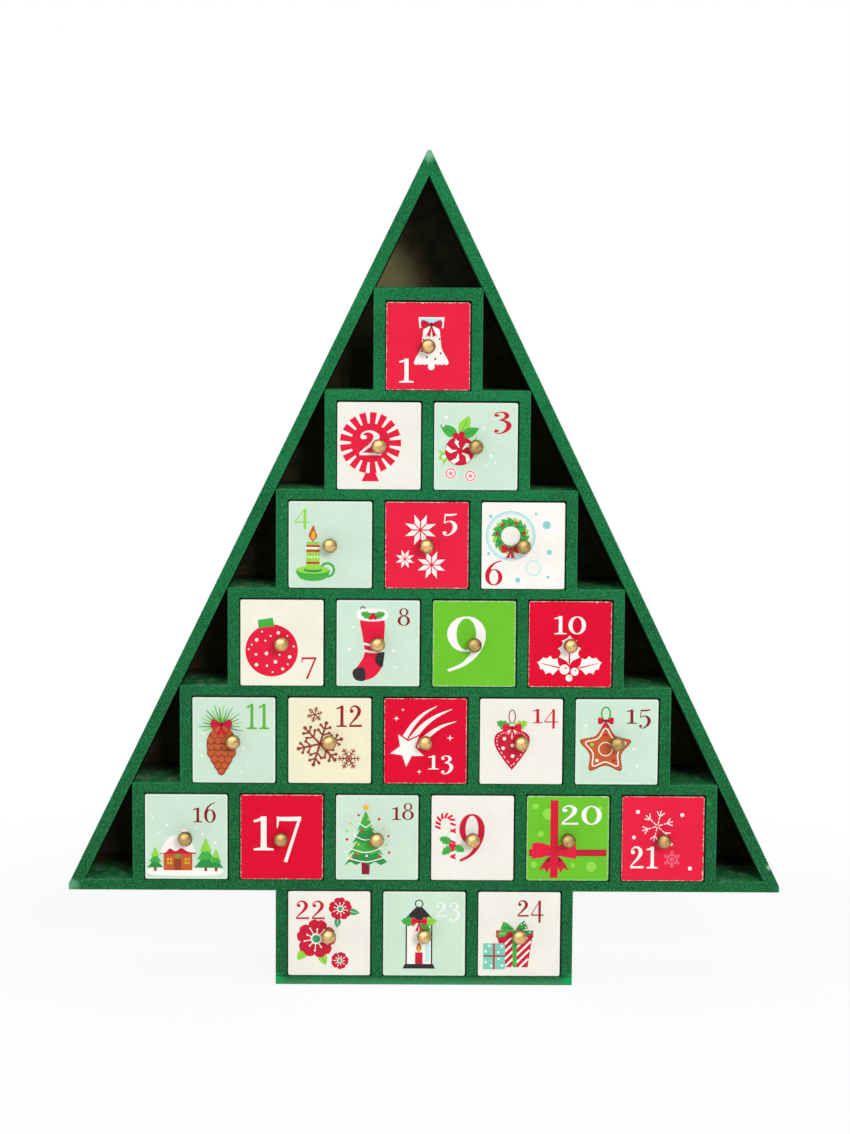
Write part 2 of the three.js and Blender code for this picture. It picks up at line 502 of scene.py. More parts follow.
@dataclass(frozen=True)
class BackPaint(CarcassPaint):
    """The back sheet: a thin, thirsty coat that lets the fibres through."""

    name: str = "paint_on_back"
    spotted: bool = False
    fibre: Colour = (58, 92, 60)

    def build(self) -> bpy.types.Material:
        """Makes the material.

        Returns:
            The material.
        """
        graph = Graph(self.name)
        strands = graph.noise(1.2, 4.0, 0.6, Vector((7, 1, 1)))
        colour = graph.mix(graph.ramp(strands, 0.48, 0.66, 0.0, 0.7), self.tone(graph), self.fibre)
        graph.bump(strands, 0.12, 0.4)
        return graph.surface(colour, 0.74, Specular_IOR_Level=0.3)


@dataclass(frozen=True)
class FrontPaint:
    """A drawer's printed ground, chipped and rubbed along its arrises, with a whiter band along them as a
    painted highlight.

    The map called "face" holds each point's place in millimetres from the middle of the front, unfolded
    over its arrises, so that wear follows them.
    """

    name: str
    ground: Colour
    chip: Colour
    chipped: float
    edge_highlight: float
    rubbed: float = 0.0
    half_width: float = 20.7
    half_height: float = 21.6
    clouded: float = 0.955
    speckled: float = 0.93

    def build(self) -> bpy.types.Material:
        """Makes the material.

        Returns:
            The material.
        """
        graph = Graph(self.name)
        unfolded = graph.add("UVMap", uv_map="face")
        across, up = (
            graph.maths("SUBTRACT", graph.maths("ABSOLUTE", graph.axis(unfolded.outputs[0], k)), half)
            for k, half in enumerate((self.half_width, self.half_height))
        )
        off_arris = graph.maths("ABSOLUTE", graph.maths("MAXIMUM", across, up))
        cloud = graph.ramp(graph.noise(16.0, 2.0), *MIDDLING, 0.0, 0.55)
        colour = graph.mix(cloud, self.ground, dimmed(self.ground, self.clouded))
        grain = graph.ramp(graph.noise(0.7, 2.0, 0.6), 0.40, 0.70, 0.0, 0.5)
        colour = graph.mix(grain, colour, dimmed(self.ground, self.speckled))
        # Painted highlight: a whiter band along the front's arris.
        rim = graph.ramp(off_arris, 0.25, 1.1, self.edge_highlight, 0.0)
        colour = graph.mix(rim, colour, self.chip)
        beyond = graph.maths("ADD", off_arris, -0.85)
        broken = graph.maths("MULTIPLY_ADD", graph.noise(1.3, 4.0, 0.7), 1.7, beyond)
        colour = graph.mix(graph.ramp(broken, 0.02, 0.34, self.rubbed, 0.0), colour, self.chip)
        patchy = graph.maths("MULTIPLY_ADD", graph.noise(8.0, 2.0), 0.9, -0.45)
        flakes = graph.maths("ADD", graph.noise(1.3, 4.0, 0.65), patchy)
        worn = graph.maths("MULTIPLY_ADD", off_arris, -0.30, flakes)
        chips = graph.ramp(worn, 0.60 - self.chipped, 0.65 - self.chipped)
        colour = graph.mix(chips, colour, self.chip)
        relief = graph.maths("MULTIPLY_ADD", chips, -1.2, graph.noise(0.8, 3.0, 0.6))
        graph.bump(relief, 0.06, 0.4)
        satin = graph.ramp(graph.noise(4.0), *MIDDLING, 0.40, 0.52)
        roughness = graph.maths("MULTIPLY_ADD", chips, 0.3, satin)
        return graph.surface(colour, roughness, Specular_IOR_Level=PAINT_SHINE)


@dataclass(frozen=True)
class InkFilm:
    """A screen-printed ink, a little uneven where it was drawn over the ground."""

    name: str
    colour: Colour
    worn_to: int = 235
    worn_share: float = 0.10

    def build(self) -> bpy.types.Material:
        """Makes the material.

        Returns:
            The material.
        """
        graph = Graph(f"ink_{self.name}")
        thin = tuple(round(c + (self.worn_to - c) * self.worn_share) for c in self.colour)
        colour = graph.mix(graph.ramp(graph.noise(0.8, 3.0, 0.6), 0.38, 0.72), self.colour, thin)
        graph.bump(graph.noise(0.7, 2.0), 0.02, 0.3)
        rough = graph.ramp(graph.noise(2.5), *MIDDLING, 0.38, 0.5)
        return graph.surface(colour, rough, Specular_IOR_Level=PAINT_SHINE)


@dataclass(frozen=True)
class Brass:
    """Turned brass under old lacquer, tarnished in patches."""

    name: str
    metal: Colour
    tarnish: Colour
    roughness: float
    # brown is the dark tone of the painted shade on the ball's rim and back.
    brown: Colour = (74, 48, 24)
    unshaded_to: float = -38.0
    rim_shade_from: float = -36.2

    def build(self) -> bpy.types.Material:
        """Makes the material, with a brown painted shade from the ball's rim backwards.

        Returns:
            The material.
        """
        graph = Graph(self.name)
        patches = graph.ramp(graph.noise(2.6, 4.0, 0.6), 0.40, 0.66, 0.0, 0.75)
        colour = graph.mix(patches, self.metal, self.tarnish)
        # Painted shade: the ball turns brown from its rim towards the drawer.
        back = graph.ramp(graph.axis(graph.place, 1), self.unshaded_to * MM, self.rim_shade_from * MM, 0.0, 0.85)
        colour = graph.mix(back, colour, self.brown)
        rings = graph.noise(0.35, 2.0, 0.5, Vector((1, 0.25, 1)))
        graph.bump(rings, 0.03, 0.35)
        rough = graph.ramp(graph.noise(1.4, 3.0), *MIDDLING, self.roughness, self.roughness + 0.16)
        return graph.surface(colour, rough, Metallic=1.0)


@dataclass(frozen=True)
class BareBoard:
    """Bare fibreboard, as the trays are."""

    name: str = "bare_fibreboard"
    pale: Colour = (196, 164, 120)
    dark: Colour = (164, 130, 88)
    fleck: Colour = (118, 88, 56)

    def build(self) -> bpy.types.Material:
        """Makes the material.

        Returns:
            The material.
        """
        graph = Graph(self.name)
        strands = graph.noise(1.6, 4.0, 0.65, Vector((1, 5, 1)))
        colour = graph.mix(graph.ramp(strands, 0.34, 0.68), self.dark, self.pale)
        colour = graph.mix(graph.ramp(graph.noise(0.5, 2.0), 0.62, 0.72, 0.0, 0.6), colour, self.fleck)
        graph.bump(strands, 0.10, 0.4)
        return graph.surface(colour, 0.8, Specular_IOR_Level=0.25)


Finish = CarcassPaint | FrontPaint | InkFilm | Brass | BareBoard


@cache
def material_of(finish: Finish) -> bpy.types.Material:
    """The one material of a finish."""
    return finish.build()


PAINT = CarcassPaint()
ARRIS = ArrisPaintWithHighlight()
CELL = CellPaint()
# The cell floors: lighter greens as painted light on the upward faces, the painted shade starting further in,
# and dust.
CELL_FLOOR = CellPaint(
    "paint_on_cell_floors_with_painted_light", (32, 134, 70), (54, 168, 92), (40, 128, 72), starts=-10.0, ends=18.0, dust=0.85
)
# Painted shade: near-black paint on the eased arrises round the cells' mouths, that darkens the gaps round
# the fronts.
MOUTH_SHADE = CarcassPaint("painted_shade_in_mouths", (3, 24, 14), (4, 30, 18), (3, 24, 14), (8, 44, 28), (2, 14, 8), False)
CARCASS_FINISHES: tuple[Finish, ...] = (PAINT, ARRIS, CELL, CELL_FLOOR, MOUTH_SHADE)


class Part(Enum):
    """The finishes of a carcass board, in the order of its material slots."""

    OUTSIDE = 0
    ARRIS = 1
    INSIDE = 2
    FLOOR = 3
    MOUTH_SHADE = 4


CREAM_CHIP: Colour = (247, 238, 214)


class Ground(Enum):
    """The grounds that the fronts are printed on: the finish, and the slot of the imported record."""

    RED = (FrontPaint("front_red", (235, 30, 65), CREAM_CHIP, 0.0, 0.0, 0.75), "front_red")
    DEEP_RED = (FrontPaint("front_deep_red", (227, 0, 47), CREAM_CHIP, 0.0, 0.0, 0.75), "front_red")
    LEAF = (FrontPaint("front_leaf", (110, 198, 44), (232, 244, 212), -0.02, 0.1, 0.85), "front_leaf")
    MINT = (FrontPaint("front_mint", (208, 233, 213), (246, 250, 238), -0.06, 0.55), "front_mint")
    CREAM = (FrontPaint("front_cream", (243, 241, 231), (252, 250, 244), -0.10, 0.4), "front_cream")
    IVORY = (FrontPaint("front_ivory", (246, 243, 225), (252, 250, 240), -0.10, 0.4), "front_cream")
    WHITE = (FrontPaint("front_white", (249, 246, 241), (253, 251, 246), -0.10, 0.4), "front_cream")
    YELLOW = (FrontPaint("front_yellow", (246, 239, 208), (252, 248, 230), -0.08, 0.45), "front_yellow")


class Ink(Enum):
    """The inks of the prints."""

    RED = InkFilm("red", (202, 20, 50))
    BRIGHT = InkFilm("bright_red", (229, 20, 56))
    CHERRY = InkFilm("cherry", (214, 18, 50))
    BRICK = InkFilm("brick", (152, 28, 34))
    WINE = InkFilm("wine", (134, 18, 46))
    WHITE = InkFilm("white", (250, 246, 240))
    PINK = InkFilm("pink", (245, 122, 142))
    ROSE = InkFilm("rose", (240, 108, 136))
    LIME = InkFilm("lime", (146, 214, 66))
    GREEN = InkFilm("green", (64, 172, 64))
    SAP = InkFilm("sap_green", (96, 174, 60))
    MOSS = InkFilm("moss", (40, 140, 66))
    SEA = InkFilm("sea_green", (60, 158, 104))
    TEAL = InkFilm("teal", (136, 206, 210))
    JADE = InkFilm("jade", (120, 204, 184))
    AQUA = InkFilm("aqua", (196, 232, 230))
    SKY = InkFilm("sky", (176, 222, 236))
    RUST = InkFilm("rust", (196, 88, 40))
    BROWN = InkFilm("brown", (146, 60, 34))
    GOLD = InkFilm("gold", (244, 176, 46))
    BLACK = InkFilm("black", (44, 38, 40))
    MIST = InkFilm("mist", (234, 245, 232))
    FRESH = InkFilm("fresh_green", (142, 216, 72))


# The bench


def clear_bench() -> None:
    """Leaves edit mode and deselects everything."""
    if bpy.context.object is not None and bpy.context.object.mode != "OBJECT":
        bpy.ops.object.mode_set(mode="OBJECT")
    bpy.ops.object.select_all(action="DESELECT")


class Workpiece:
    """A mesh on the bench: a primitive at its size and place, shaped in edit mode."""

    def __init__(self, name: str, finishes: Sequence[Finish]) -> None:
        """Takes up the primitive that was just added.

        Args:
            name: the piece's name.
            finishes: the finishes of its material slots, in order.
        """
        self.obj = bpy.context.object
        self.obj.name = self.obj.data.name = name
        bpy.ops.object.transform_apply(location=False, rotation=True, scale=False)
        for finish in finishes:
            self.obj.data.materials.append(material_of(finish))
        bpy.ops.object.mode_set(mode="EDIT")
        bpy.ops.mesh.select_mode(type="FACE")
        bpy.ops.mesh.select_all(action="SELECT")

    @classmethod
    def sheet(cls, name: str, low: Point, high: Point, y: float, finishes: Sequence[Finish]) -> "Workpiece":
        """Starts with a flat sheet in front view, facing the front.

        Args:
            name: the piece's name.
            low: its lower left corner.
            high: its upper right corner.
            y: its place from front to back.
            finishes: its finishes.

        Returns:
            The workpiece, with all of it selected.
        """
        clear_bench()
        bpy.ops.mesh.primitive_plane_add(size=1.0, rotation=(pi / 2, 0, 0))
        piece = cls(name, finishes)
        size = (high[0] - low[0], 1 / MM, high[1] - low[1])
        piece.fit(size, ((low[0] + high[0]) / 2, y, (low[1] + high[1]) / 2))
        return piece

    @classmethod
    def block(
        cls, name: str, low: Sequence[float], high: Sequence[float], finishes: Sequence[Finish]
    ) -> "Workpiece":
        """Starts with a block.

        Args:
            name: the piece's name.
            low: its lowest corner.
            high: its highest corner.
            finishes: its finishes.

        Returns:
            The workpiece, with all of it selected.
        """
        clear_bench()
        bpy.ops.mesh.primitive_cube_add(size=1.0)
        piece = cls(name, finishes)
        piece.fit([b - a for a, b in zip(low, high)], [(a + b) / 2 for a, b in zip(low, high)])
        return piece

    @classmethod
    def disc(cls, name: str, radius: float, y: float, sides: int, finishes: Sequence[Finish]) -> "Workpiece":
        """Starts with a filled circle that faces the front.

        Args:
            name: the piece's name.
            radius: its radius.
            y: its place from front to back.
            sides: how many sides it has.
            finishes: its finishes.

        Returns:
            The workpiece, with all of it selected.
        """
        clear_bench()
        upright = (pi / 2, 0, 0)
        bpy.ops.mesh.primitive_circle_add(vertices=sides, radius=1.0, fill_type="NGON", rotation=upright)
        piece = cls(name, finishes)
        piece.fit((radius, 1 / MM, radius), (0, y, 0))
        return piece

    def fit(self, size: Sequence[float], centre: Sequence[float]) -> None:
        """Scales what is selected and moves it, both in millimetres."""
        bpy.ops.transform.resize(value=[s * MM for s in size])
        bpy.ops.transform.translate(value=[c * MM for c in centre])

    def select(self, test: Callable[[bmesh.types.BMFace], bool]) -> None:
        """Selects some faces and nothing else.

        Args:
            test: which faces.
        """
        bpy.ops.mesh.select_all(action="DESELECT")
        mesh = bmesh.from_edit_mesh(self.obj.data)
        for face in mesh.faces:
            if test(face):
                face.select_set(True)
        bmesh.update_edit_mesh(self.obj.data)

    def score(self, point: Point, along: Point) -> None:
        """Cuts an edge across the whole sheet through a point, along a direction in front view."""
        self.saw(point, along, keep=None)

    def saw(self, point: Point, along: Point, keep: Point | None) -> None:
        """Cuts through in front view, and drops the side of the cut away from keep.

        Args:
            point: a point of the cut.
            along: the cut's direction.
            keep: a point on the side that stays, or None to keep both.
        """
        across = Vector((along[1], 0, -along[0])).normalized()
        if keep is not None and across.dot(Vector((keep[0] - point[0], 0, keep[1] - point[1]))) > 0:
            across = -across
        bpy.ops.mesh.select_all(action="SELECT")
        bpy.ops.mesh.bisect(
            plane_co=(point[0] * MM, 0, point[1] * MM),
            plane_no=across,
            clear_outer=keep is not None,
            threshold=1e-6,
        )

    def notch(self, left: float, right: float, mouth: float, end: float) -> None:
        """Cuts a housing out of a sheet.

        Args:
            left: its left side.
            right: its right side.
            mouth: the height of the sheet's edge that it opens to.
            end: the height of its blind end.
        """
        self.score((left, end), (0, 1))
        self.score((right, end), (0, 1))
        self.score((left, end), (1, 0))
        low, high = sorted((mouth, end))

        def inside(face: bmesh.types.BMFace) -> bool:
            """Whether a face lies in the housing."""
            middle = face.calc_center_median() / MM
            return left < middle.x < right and low < middle.z < high

        self.select(inside)
        bpy.ops.mesh.delete(type="FACE")
        bpy.ops.mesh.select_all(action="SELECT")
        bpy.ops.mesh.dissolve_limited(angle_limit=FLAT)

    def thicken(self, depth: float) -> None:
        """Extrudes the whole sheet towards the back into a closed board.

        Args:
            depth: how thick it gets.
        """
        bpy.ops.mesh.select_all(action="SELECT")
        bpy.ops.mesh.dissolve_limited(angle_limit=FLAT)
        bpy.ops.mesh.select_all(action="SELECT")
        bpy.ops.mesh.extrude_region_move(TRANSFORM_OT_translate={"value": (0, depth * MM, 0)})
        self.close()

    def close(self) -> None:
        """Turns every face outwards."""
        bpy.ops.mesh.select_all(action="SELECT")
        bpy.ops.mesh.normals_make_consistent(inside=False)

    def paint(self, part: Part, test: EdgeTest) -> None:
        """Gives some faces one of the finishes.

        Args:
            part: the finish.
            test: which faces, from their normal and middle.
        """
        mesh = bmesh.from_edit_mesh(self.obj.data)
        for face in mesh.faces:
            if test(face.normal, face.calc_center_median() / MM):
                face.material_index = part.value
        bmesh.update_edit_mesh(self.obj.data)

    def middle(self) -> Vector:
        """The middle of the box round the piece, in millimetres."""
        corners = [corner.co / MM for corner in bmesh.from_edit_mesh(self.obj.data).verts]
        return Vector([(min(c[k] for c in corners) + max(c[k] for c in corners)) / 2 for k in range(3)])

    def soften(self, width: float, segments: int = 2, slot: int = -1, only: EdgeTest | None = None) -> None:
        """Rounds the arrises.

        Args:
            width: how far the rounding reaches from the arris.
            segments: how many facets it has.
            slot: the material slot of the new faces, or -1 for that of their neighbours.
            only: which arrises, from their middle and their direction, or None for all of them.
        """
        bpy.ops.mesh.select_mode(type="EDGE")
        bpy.ops.mesh.select_all(action="DESELECT")
        bpy.ops.mesh.edges_select_sharp(sharpness=SHARP)
        if only is not None:
            mesh = bmesh.from_edit_mesh(self.obj.data)
            for edge in mesh.edges:
                ends = [corner.co / MM for corner in edge.verts]
                if edge.select and not only((ends[0] + ends[1]) / 2, (ends[1] - ends[0]).normalized()):
                    edge.select_set(False)
            bmesh.update_edit_mesh(self.obj.data)
        bpy.ops.mesh.bevel(
            offset=width * MM, offset_type="OFFSET", segments=segments, profile=0.5, affect="EDGES",
            clamp_overlap=True, material=slot,
        )
        bpy.ops.mesh.select_mode(type="FACE")

    def done(self) -> bpy.types.Object:
        """Takes the piece off the bench.

        Returns:
            The piece.
        """
        self.close()
        clear_bench()
        return self.obj


def copy_of(master: bpy.types.Object, name: str, move: Sequence[float]) -> bpy.types.Object:
    """Copies a master piece with a mesh of its own, moved in millimetres.

    Args:
        master: the piece to copy.
        name: the copy's name.
        move: where it goes.

    Returns:
        The copy.
    """
    twin = master.copy()
    twin.data = master.data.copy()
    twin.name = twin.data.name = name
    twin.data.transform(Matrix.Translation(Vector(move) * MM))
    bpy.context.collection.objects.link(twin)
    return twin


def drop(master: bpy.types.Object) -> None:
    """Removes a master piece once all of its copies are made."""
    bpy.data.objects.remove(master, do_unlink=True)


def seat(piece: bpy.types.Object, body: str, node: str) -> bpy.types.Object:
    """Puts a finished piece on its body.

    Args:
        piece: the finished piece.
        body: the body that it moves with.
        node: the CAD node that it stands for.

    Returns:
        The piece.
    """
    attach(piece, body)
    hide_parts(node)
    log.info("%s: rides on %s, %d faces", piece.name, body, len(piece.data.polygons))
    return piece


# The carcass


@dataclass
class Carcass:
    """The painted boards: shelves, uprights, base, trunk, roof boards and back sheet."""

    layout: Layout = LAYOUT
    arris: float = 0.32
    lit_arris: float = 0.22
    shaded_arris: float = 0.56
    base_seat: float = 0.03
    body: str = "carcass"
    slot: str = "frame_paint"

    def board(
        self, piece: Workpiece, inside: EdgeTest, bold: EdgeTest, fine: EdgeTest, ends: Sequence[float] = ()
    ) -> bpy.types.Object:
        """Gives a sawn sheet its depth, its finishes and its softened arrises.

        Args:
            piece: the sheet.
            inside: which faces look into a cell or niche, from their normal and middle.
            bold: which arrises stand free and are rubbed light, from their middle and direction.
            fine: which arrises frame a cell; they are eased and painted with the painted shade of the mouths.
            ends: the heights at which those arrises end.

        Returns:
            The board.
        """
        piece.thicken(self.layout.depth)
        piece.paint(Part.INSIDE, inside)
        piece.paint(Part.FLOOR, lambda normal, middle: normal.z > FACING and inside(normal, middle))
        for z in ends:
            piece.score((0, z), (1, 0))
        # The arrises round the cells take the painted shade of the mouths, wider where they face away from
        # the light.
        middle = piece.middle()
        for width, shaded in ((self.lit_arris, False), (self.shaded_arris, True)):

            def eased(mid: Vector, run: Vector, shaded: bool = shaded) -> bool:
                """Whether an arris is eased in this pass, which takes those that face the light or not."""
                axis = 2 if abs(run.x) > ALONG else 0
                return self.in_front(mid) and fine(mid, run) and (mid[axis] < middle[axis]) == shaded

            piece.soften(width, 1, Part.MOUTH_SHADE.value, eased)
        piece.soften(self.arris, slot=Part.ARRIS.value, only=bold)
        return piece.done()

    def in_front(self, point: Vector) -> bool:
        """Whether a point lies in the plane of the calendar's front."""
        return abs(point.y - self.layout.front) < HAIR

    def house(self, piece: Workpiece, cells: int, mouth: float, up: int) -> None:
        """Cuts the housings of a row's uprights.

        Args:
            piece: the board's sheet.
            cells: how many cells the row has.
            mouth: the height of the face that the uprights meet.
            up: 1 where they come from below, -1 where they stand on it.
        """
        half = self.layout.wall / 2 + self.layout.glue
        for x in self.layout.upright_centres(cells):
            piece.notch(x - half, x + half, mouth, mouth + up * self.layout.housing)

    def shelf(self, row: int) -> None:
        """Makes the shelf over a row.

        Args:
            row: the row; 1 is the uppermost.
        """
        lay = self.layout
        top = lay.shelf_top(row)
        low = top - lay.shelf
        side = lay.tier_width(row) / 2
        step = lay.tier_width(row - 1) / 2 if row > 1 else 0
        peak = top if row > 1 else top + lay.cap
        piece = Workpiece.sheet(f"shelf_{row}", (-side, low), (side, peak), lay.front, CARCASS_FINISHES)
        self.house(piece, row, low, 1)
        if row > 1:
            self.house(piece, row - 1, top, -1)
        else:
            for way in (-1, 1):
                piece.saw((way * side, top), (-way * lay.slope, 1.0), keep=(0, low))

        def free(mid: Vector, run: Vector) -> bool:
            """Whether an arris stands free beside the row above."""
            return mid.z > top - HAIR and abs(mid.x) > step and run.x != 0

        def fine(mid: Vector, run: Vector) -> bool:
            """Whether an arris frames a cell."""
            at_face = mid.z <= low + HAIR or mid.z >= top - HAIR
            return abs(run.x) > ALONG and at_face and not free(mid, run)

        board = self.board(
            piece,
            inside=lambda normal, mid: abs(normal.z) > FACING or abs(normal.x) > FACING,
            bold=lambda mid, run: abs(mid.x) > side - HAIR or free(mid, run),
            fine=fine,
        )
        seat(board, self.body, f"tier_{row}")

    def uprights(self) -> None:
        """Makes the uprights of the tree's rows from three masters: left end, middle and right end."""
        lay = self.layout
        housed = lay.housing - lay.glue
        half = lay.wall / 2
        masters = {}
        for end in (-1, 0, 1):
            low, high = (-half, -housed), (half, lay.cell_height + housed)
            piece = Workpiece.sheet("upright", low, high, lay.front, CARCASS_FINISHES)
            masters[end] = self.board(
                piece,
                inside=lambda normal, mid: abs(normal.x) > FACING or abs(normal.z) > FACING,
                bold=lambda mid, run, way=end: abs(run.z) > ALONG and mid.x * way > half - HAIR,
                fine=lambda mid, run, way=end: abs(run.z) > ALONG and mid.x * way < half - HAIR
                and 0 < mid.z < lay.cell_height,
                ends=(0, lay.cell_height),
            )
        for row in range(1, lay.tree_rows + 1):
            for k, x in enumerate(lay.upright_centres(row)):
                end = -1 if k == 0 else 1 if k == row else 0
                twin = copy_of(masters[end], f"upright_{row}_{k + 1}", (x, 0, lay.shelf_top(row + 1)))
                seat(twin, self.body, f"tier_{row}")
        for master in masters.values():
            drop(master)

    def base(self) -> None:
        """Makes the board that closes the tree's foot, with its ends cut to the roof boards."""
        lay = self.layout
        low, high = lay.base_bottom, lay.base_top
        ends = [lay.roof_inside(z) - self.base_seat for z in (low, high)]
        step = lay.tier_width(lay.tree_rows) / 2
        trunk = lay.tier_width(lay.trunk_cells) / 2
        piece = Workpiece.sheet("base_plank", (-ends[0], low), (ends[0], high), lay.front, CARCASS_FINISHES)
        for side in (-1, 1):
            piece.saw((side * ends[0], low), (side * (ends[1] - ends[0]), high - low), keep=(0, low))
        self.house(piece, lay.tree_rows, high, -1)
        self.house(piece, lay.trunk_cells, low, 1)

        def bold(mid: Vector, run: Vector) -> bool:
            """Whether an arris stands free beside the tree or the trunk."""
            above, below = mid.z > high - HAIR, mid.z < low + HAIR
            return abs(run.x) > ALONG and (above and abs(mid.x) > step or below and abs(mid.x) > trunk)

        def fine(mid: Vector, run: Vector) -> bool:
            """Whether an arris frames a cell."""
            at_face = mid.z <= low + HAIR or mid.z >= high - HAIR
            return abs(run.x) > ALONG and at_face and not bold(mid, run)

        board = self.board(
            piece,
            inside=lambda normal, mid: normal.z > FACING or (normal.z < -FACING and abs(mid.x) < trunk),
            bold=bold,
            fine=fine,
        )
        seat(board, self.body, "base_board")

    def trunk(self) -> None:
        """Makes the trunk's floor and the uprights on it."""
        lay = self.layout
        side = lay.tier_width(lay.trunk_cells) / 2
        piece = Workpiece.sheet("trunk_floor", (-side, 0), (side, lay.floor), lay.front, CARCASS_FINISHES)
        board = self.board(
            piece,
            inside=lambda normal, _: normal.z > FACING,
            bold=lambda mid, run: mid.z < HAIR or (abs(mid.x) > side - HAIR and mid.z < lay.floor - HAIR),
            fine=lambda mid, run: abs(run.x) > ALONG and mid.z > HAIR,
        )
        seat(board, self.body, "trunk_frame")
        top = lay.base_bottom + lay.housing - lay.glue
        for k, x in enumerate(lay.upright_centres(lay.trunk_cells), 1):
            way = 0 if abs(x) < side - lay.wall else 1 if x > 0 else -1
            low, high = (x - lay.wall / 2, lay.floor), (x + lay.wall / 2, top)
            piece = Workpiece.sheet(f"trunk_post_{k}", low, high, lay.front, CARCASS_FINISHES)
            board = self.board(
                piece,
                inside=lambda normal, _, way=way: abs(normal.x) > FACING and normal.x * way < FACING,
                bold=lambda mid, run, way=way: abs(run.z) > ALONG and mid.x * way > side - HAIR,
                fine=lambda mid, run, way=way: abs(run.z) > ALONG and mid.x * way < side - HAIR
                and mid.z < lay.base_bottom,
                ends=(lay.base_bottom,),
            )
            seat(board, self.body, "trunk_frame")

    def roof(self, name: str, side: int) -> None:
        """Makes a roof board.

        Args:
            name: which one it is.
            side: -1 for the left one, 1 for the right.
        """
        lay = self.layout
        corners = sorted((0.0, side * lay.toe))
        low, high = (corners[0], lay.base_bottom), (corners[1], lay.tip)
        piece = Workpiece.sheet(f"roof_board_{name}", low, high, lay.front, CARCASS_FINISHES)
        down = (side * lay.slope, -1.0)
        inner = (side * lay.roof_inside(lay.base_bottom), lay.base_bottom)
        outer = (side * lay.roof_outside(lay.base_bottom), lay.base_bottom)
        piece.saw(inner, down, keep=outer)
        piece.saw(outer, down, keep=inner)
        board = self.board(
            piece,
            inside=lambda normal, _: normal.x * side < -FACING,
            bold=lambda mid, run: abs(mid.x) > HAIR,
            fine=lambda mid, run: False,
        )
        seat(board, self.body, f"roof_{name}")

    def back(self) -> None:
        """Makes the sheet that closes the back, to the outline of the whole tree."""
        lay = self.layout
        trunk = lay.tier_width(lay.trunk_cells) / 2
        finishes = (BackPaint(), ARRIS, CELL)
        rear = lay.front + lay.depth
        piece = Workpiece.sheet("back_sheet", (-lay.toe, 0), (lay.toe, lay.tip), rear, finishes)
        for side in (-1, 1):
            outer = (side * lay.roof_outside(lay.base_bottom), lay.base_bottom)
            piece.saw(outer, (side * lay.slope, -1.0), keep=(0, lay.base_bottom))
            near, far = sorted((side * trunk, side * (lay.toe + lay.wall)))
            piece.notch(near, far, 0, lay.base_bottom)
        piece.thicken(lay.back)
        piece.paint(Part.INSIDE, lambda normal, _: normal.y < -FACING)
        piece.soften(self.arris, slot=Part.ARRIS.value)
        seat(piece.done(), self.body, "back_panel")

    def build(self) -> None:
        """Makes every board of the carcass."""
        for row in range(1, self.layout.tree_rows + 1):
            self.shelf(row)
        self.uprights()
        self.base()
        self.trunk()
        for name, side in (("left", -1), ("right", 1)):
            self.roof(name, side)
        self.back()


# Drawing


def between(a: float, b: float, c: float, d: float, t: float) -> float:
    """The value at a share t of the way from b to c, on a smooth curve through a, b, c and d."""
    return 0.5 * (2 * b + (c - a) * t + (2 * a - 5 * b + 4 * c - d) * t * t + (3 * b - a - 3 * c + d) * t**3)


def smooth(path: Sequence[Sequence[float]], closed: bool = False, steps: int = 5) -> list[tuple[float, ...]]:
    """Rounds a path through its points.

    Args:
        path: points, each with any number of values.
        closed: whether the last point joins the first.
        steps: how many points each stretch gets.

    Returns:
        The rounded path.
    """
    count = len(path)
    if count < 3:
        return [tuple(p) for p in path]
    at = (lambda k: path[k % count]) if closed else (lambda k: path[min(max(k, 0), count - 1)])
    rounded = []
    for k in range(count if closed else count - 1):
        p0, p1, p2, p3 = (at(k + j) for j in (-1, 0, 1, 2))
        for step in range(steps):
            t = step / steps
            rounded.append(tuple(between(*around, t) for around in zip(p0, p1, p2, p3)))
    return rounded if closed else [*rounded, tuple(path[-1])]


def turned(points: Iterable[Point], x: float, z: float, turn: float = 0) -> list[Point]:
    """Turns points by degrees round the origin, then moves them."""
    c, s = cos(radians(turn)), sin(radians(turn))
    return [(x + c * px - s * pz, z + s * px + c * pz) for px, pz in points]


def scaled(points: Iterable[Point], across: float, up: float) -> list[Point]:
    """Stretches points away from the origin, or mirrors them where a factor is negative."""
    return [(x * across, z * up) for x, z in points]


def mirrored(half: Sequence[Point]) -> list[Point]:
    """Completes the right half of an outline, from its top to its foot, with its mirror image."""
    return [*half, *((-x, z) for x, z in reversed(half) if x)]


def star_rim(outer: float, inner: float, tips: int) -> list[Point]:
    """The corners of a star, with its first tip to the right."""
    turns = [pi * k / tips for k in range(2 * tips)]
    return [(r * cos(t), r * sin(t)) for r, t in zip((outer, inner) * tips, turns)]


def leaf_rim() -> list[Point]:
    """The outline of a plain leaf that grows to the right, 1 long and 1 wide."""
    half = [(0, 0), (0.18, 0.34), (0.42, 0.5), (0.7, 0.36), (0.88, 0.15), (1, 0)]
    return smooth(half, steps=3) + smooth(scaled(reversed(half), 1, -1), steps=3)[1:-1]


def holly_rim() -> list[Point]:
    """The outline of a holly leaf that grows to the right, 1 long and 1 wide.

    Returns:
        Its corners, with hollows between the spines.
    """
    spines = [(0, 0.04), (0.24, 0.46), (0.54, 0.5), (0.8, 0.33), (1, 0)]
    half: list[Point] = []
    for (t0, w0), (t1, w1) in zip(spines, spines[1:]):
        hollow = ((t0 + t1) / 2, min(w0, w1) * 0.45 + 0.05)
        for s in (0, 0.25, 0.5, 0.75):
            a, b, c = (1 - s) ** 2, 2 * s * (1 - s), s * s
            half.append((a * t0 + b * hollow[0] + c * t1, a * w0 + b * hollow[1] + c * w1))
    return [*half, (1, 0), *scaled(reversed(half), 1, -1)]


LEAF_RIM = leaf_rim()
HOLLY_RIM = holly_rim()


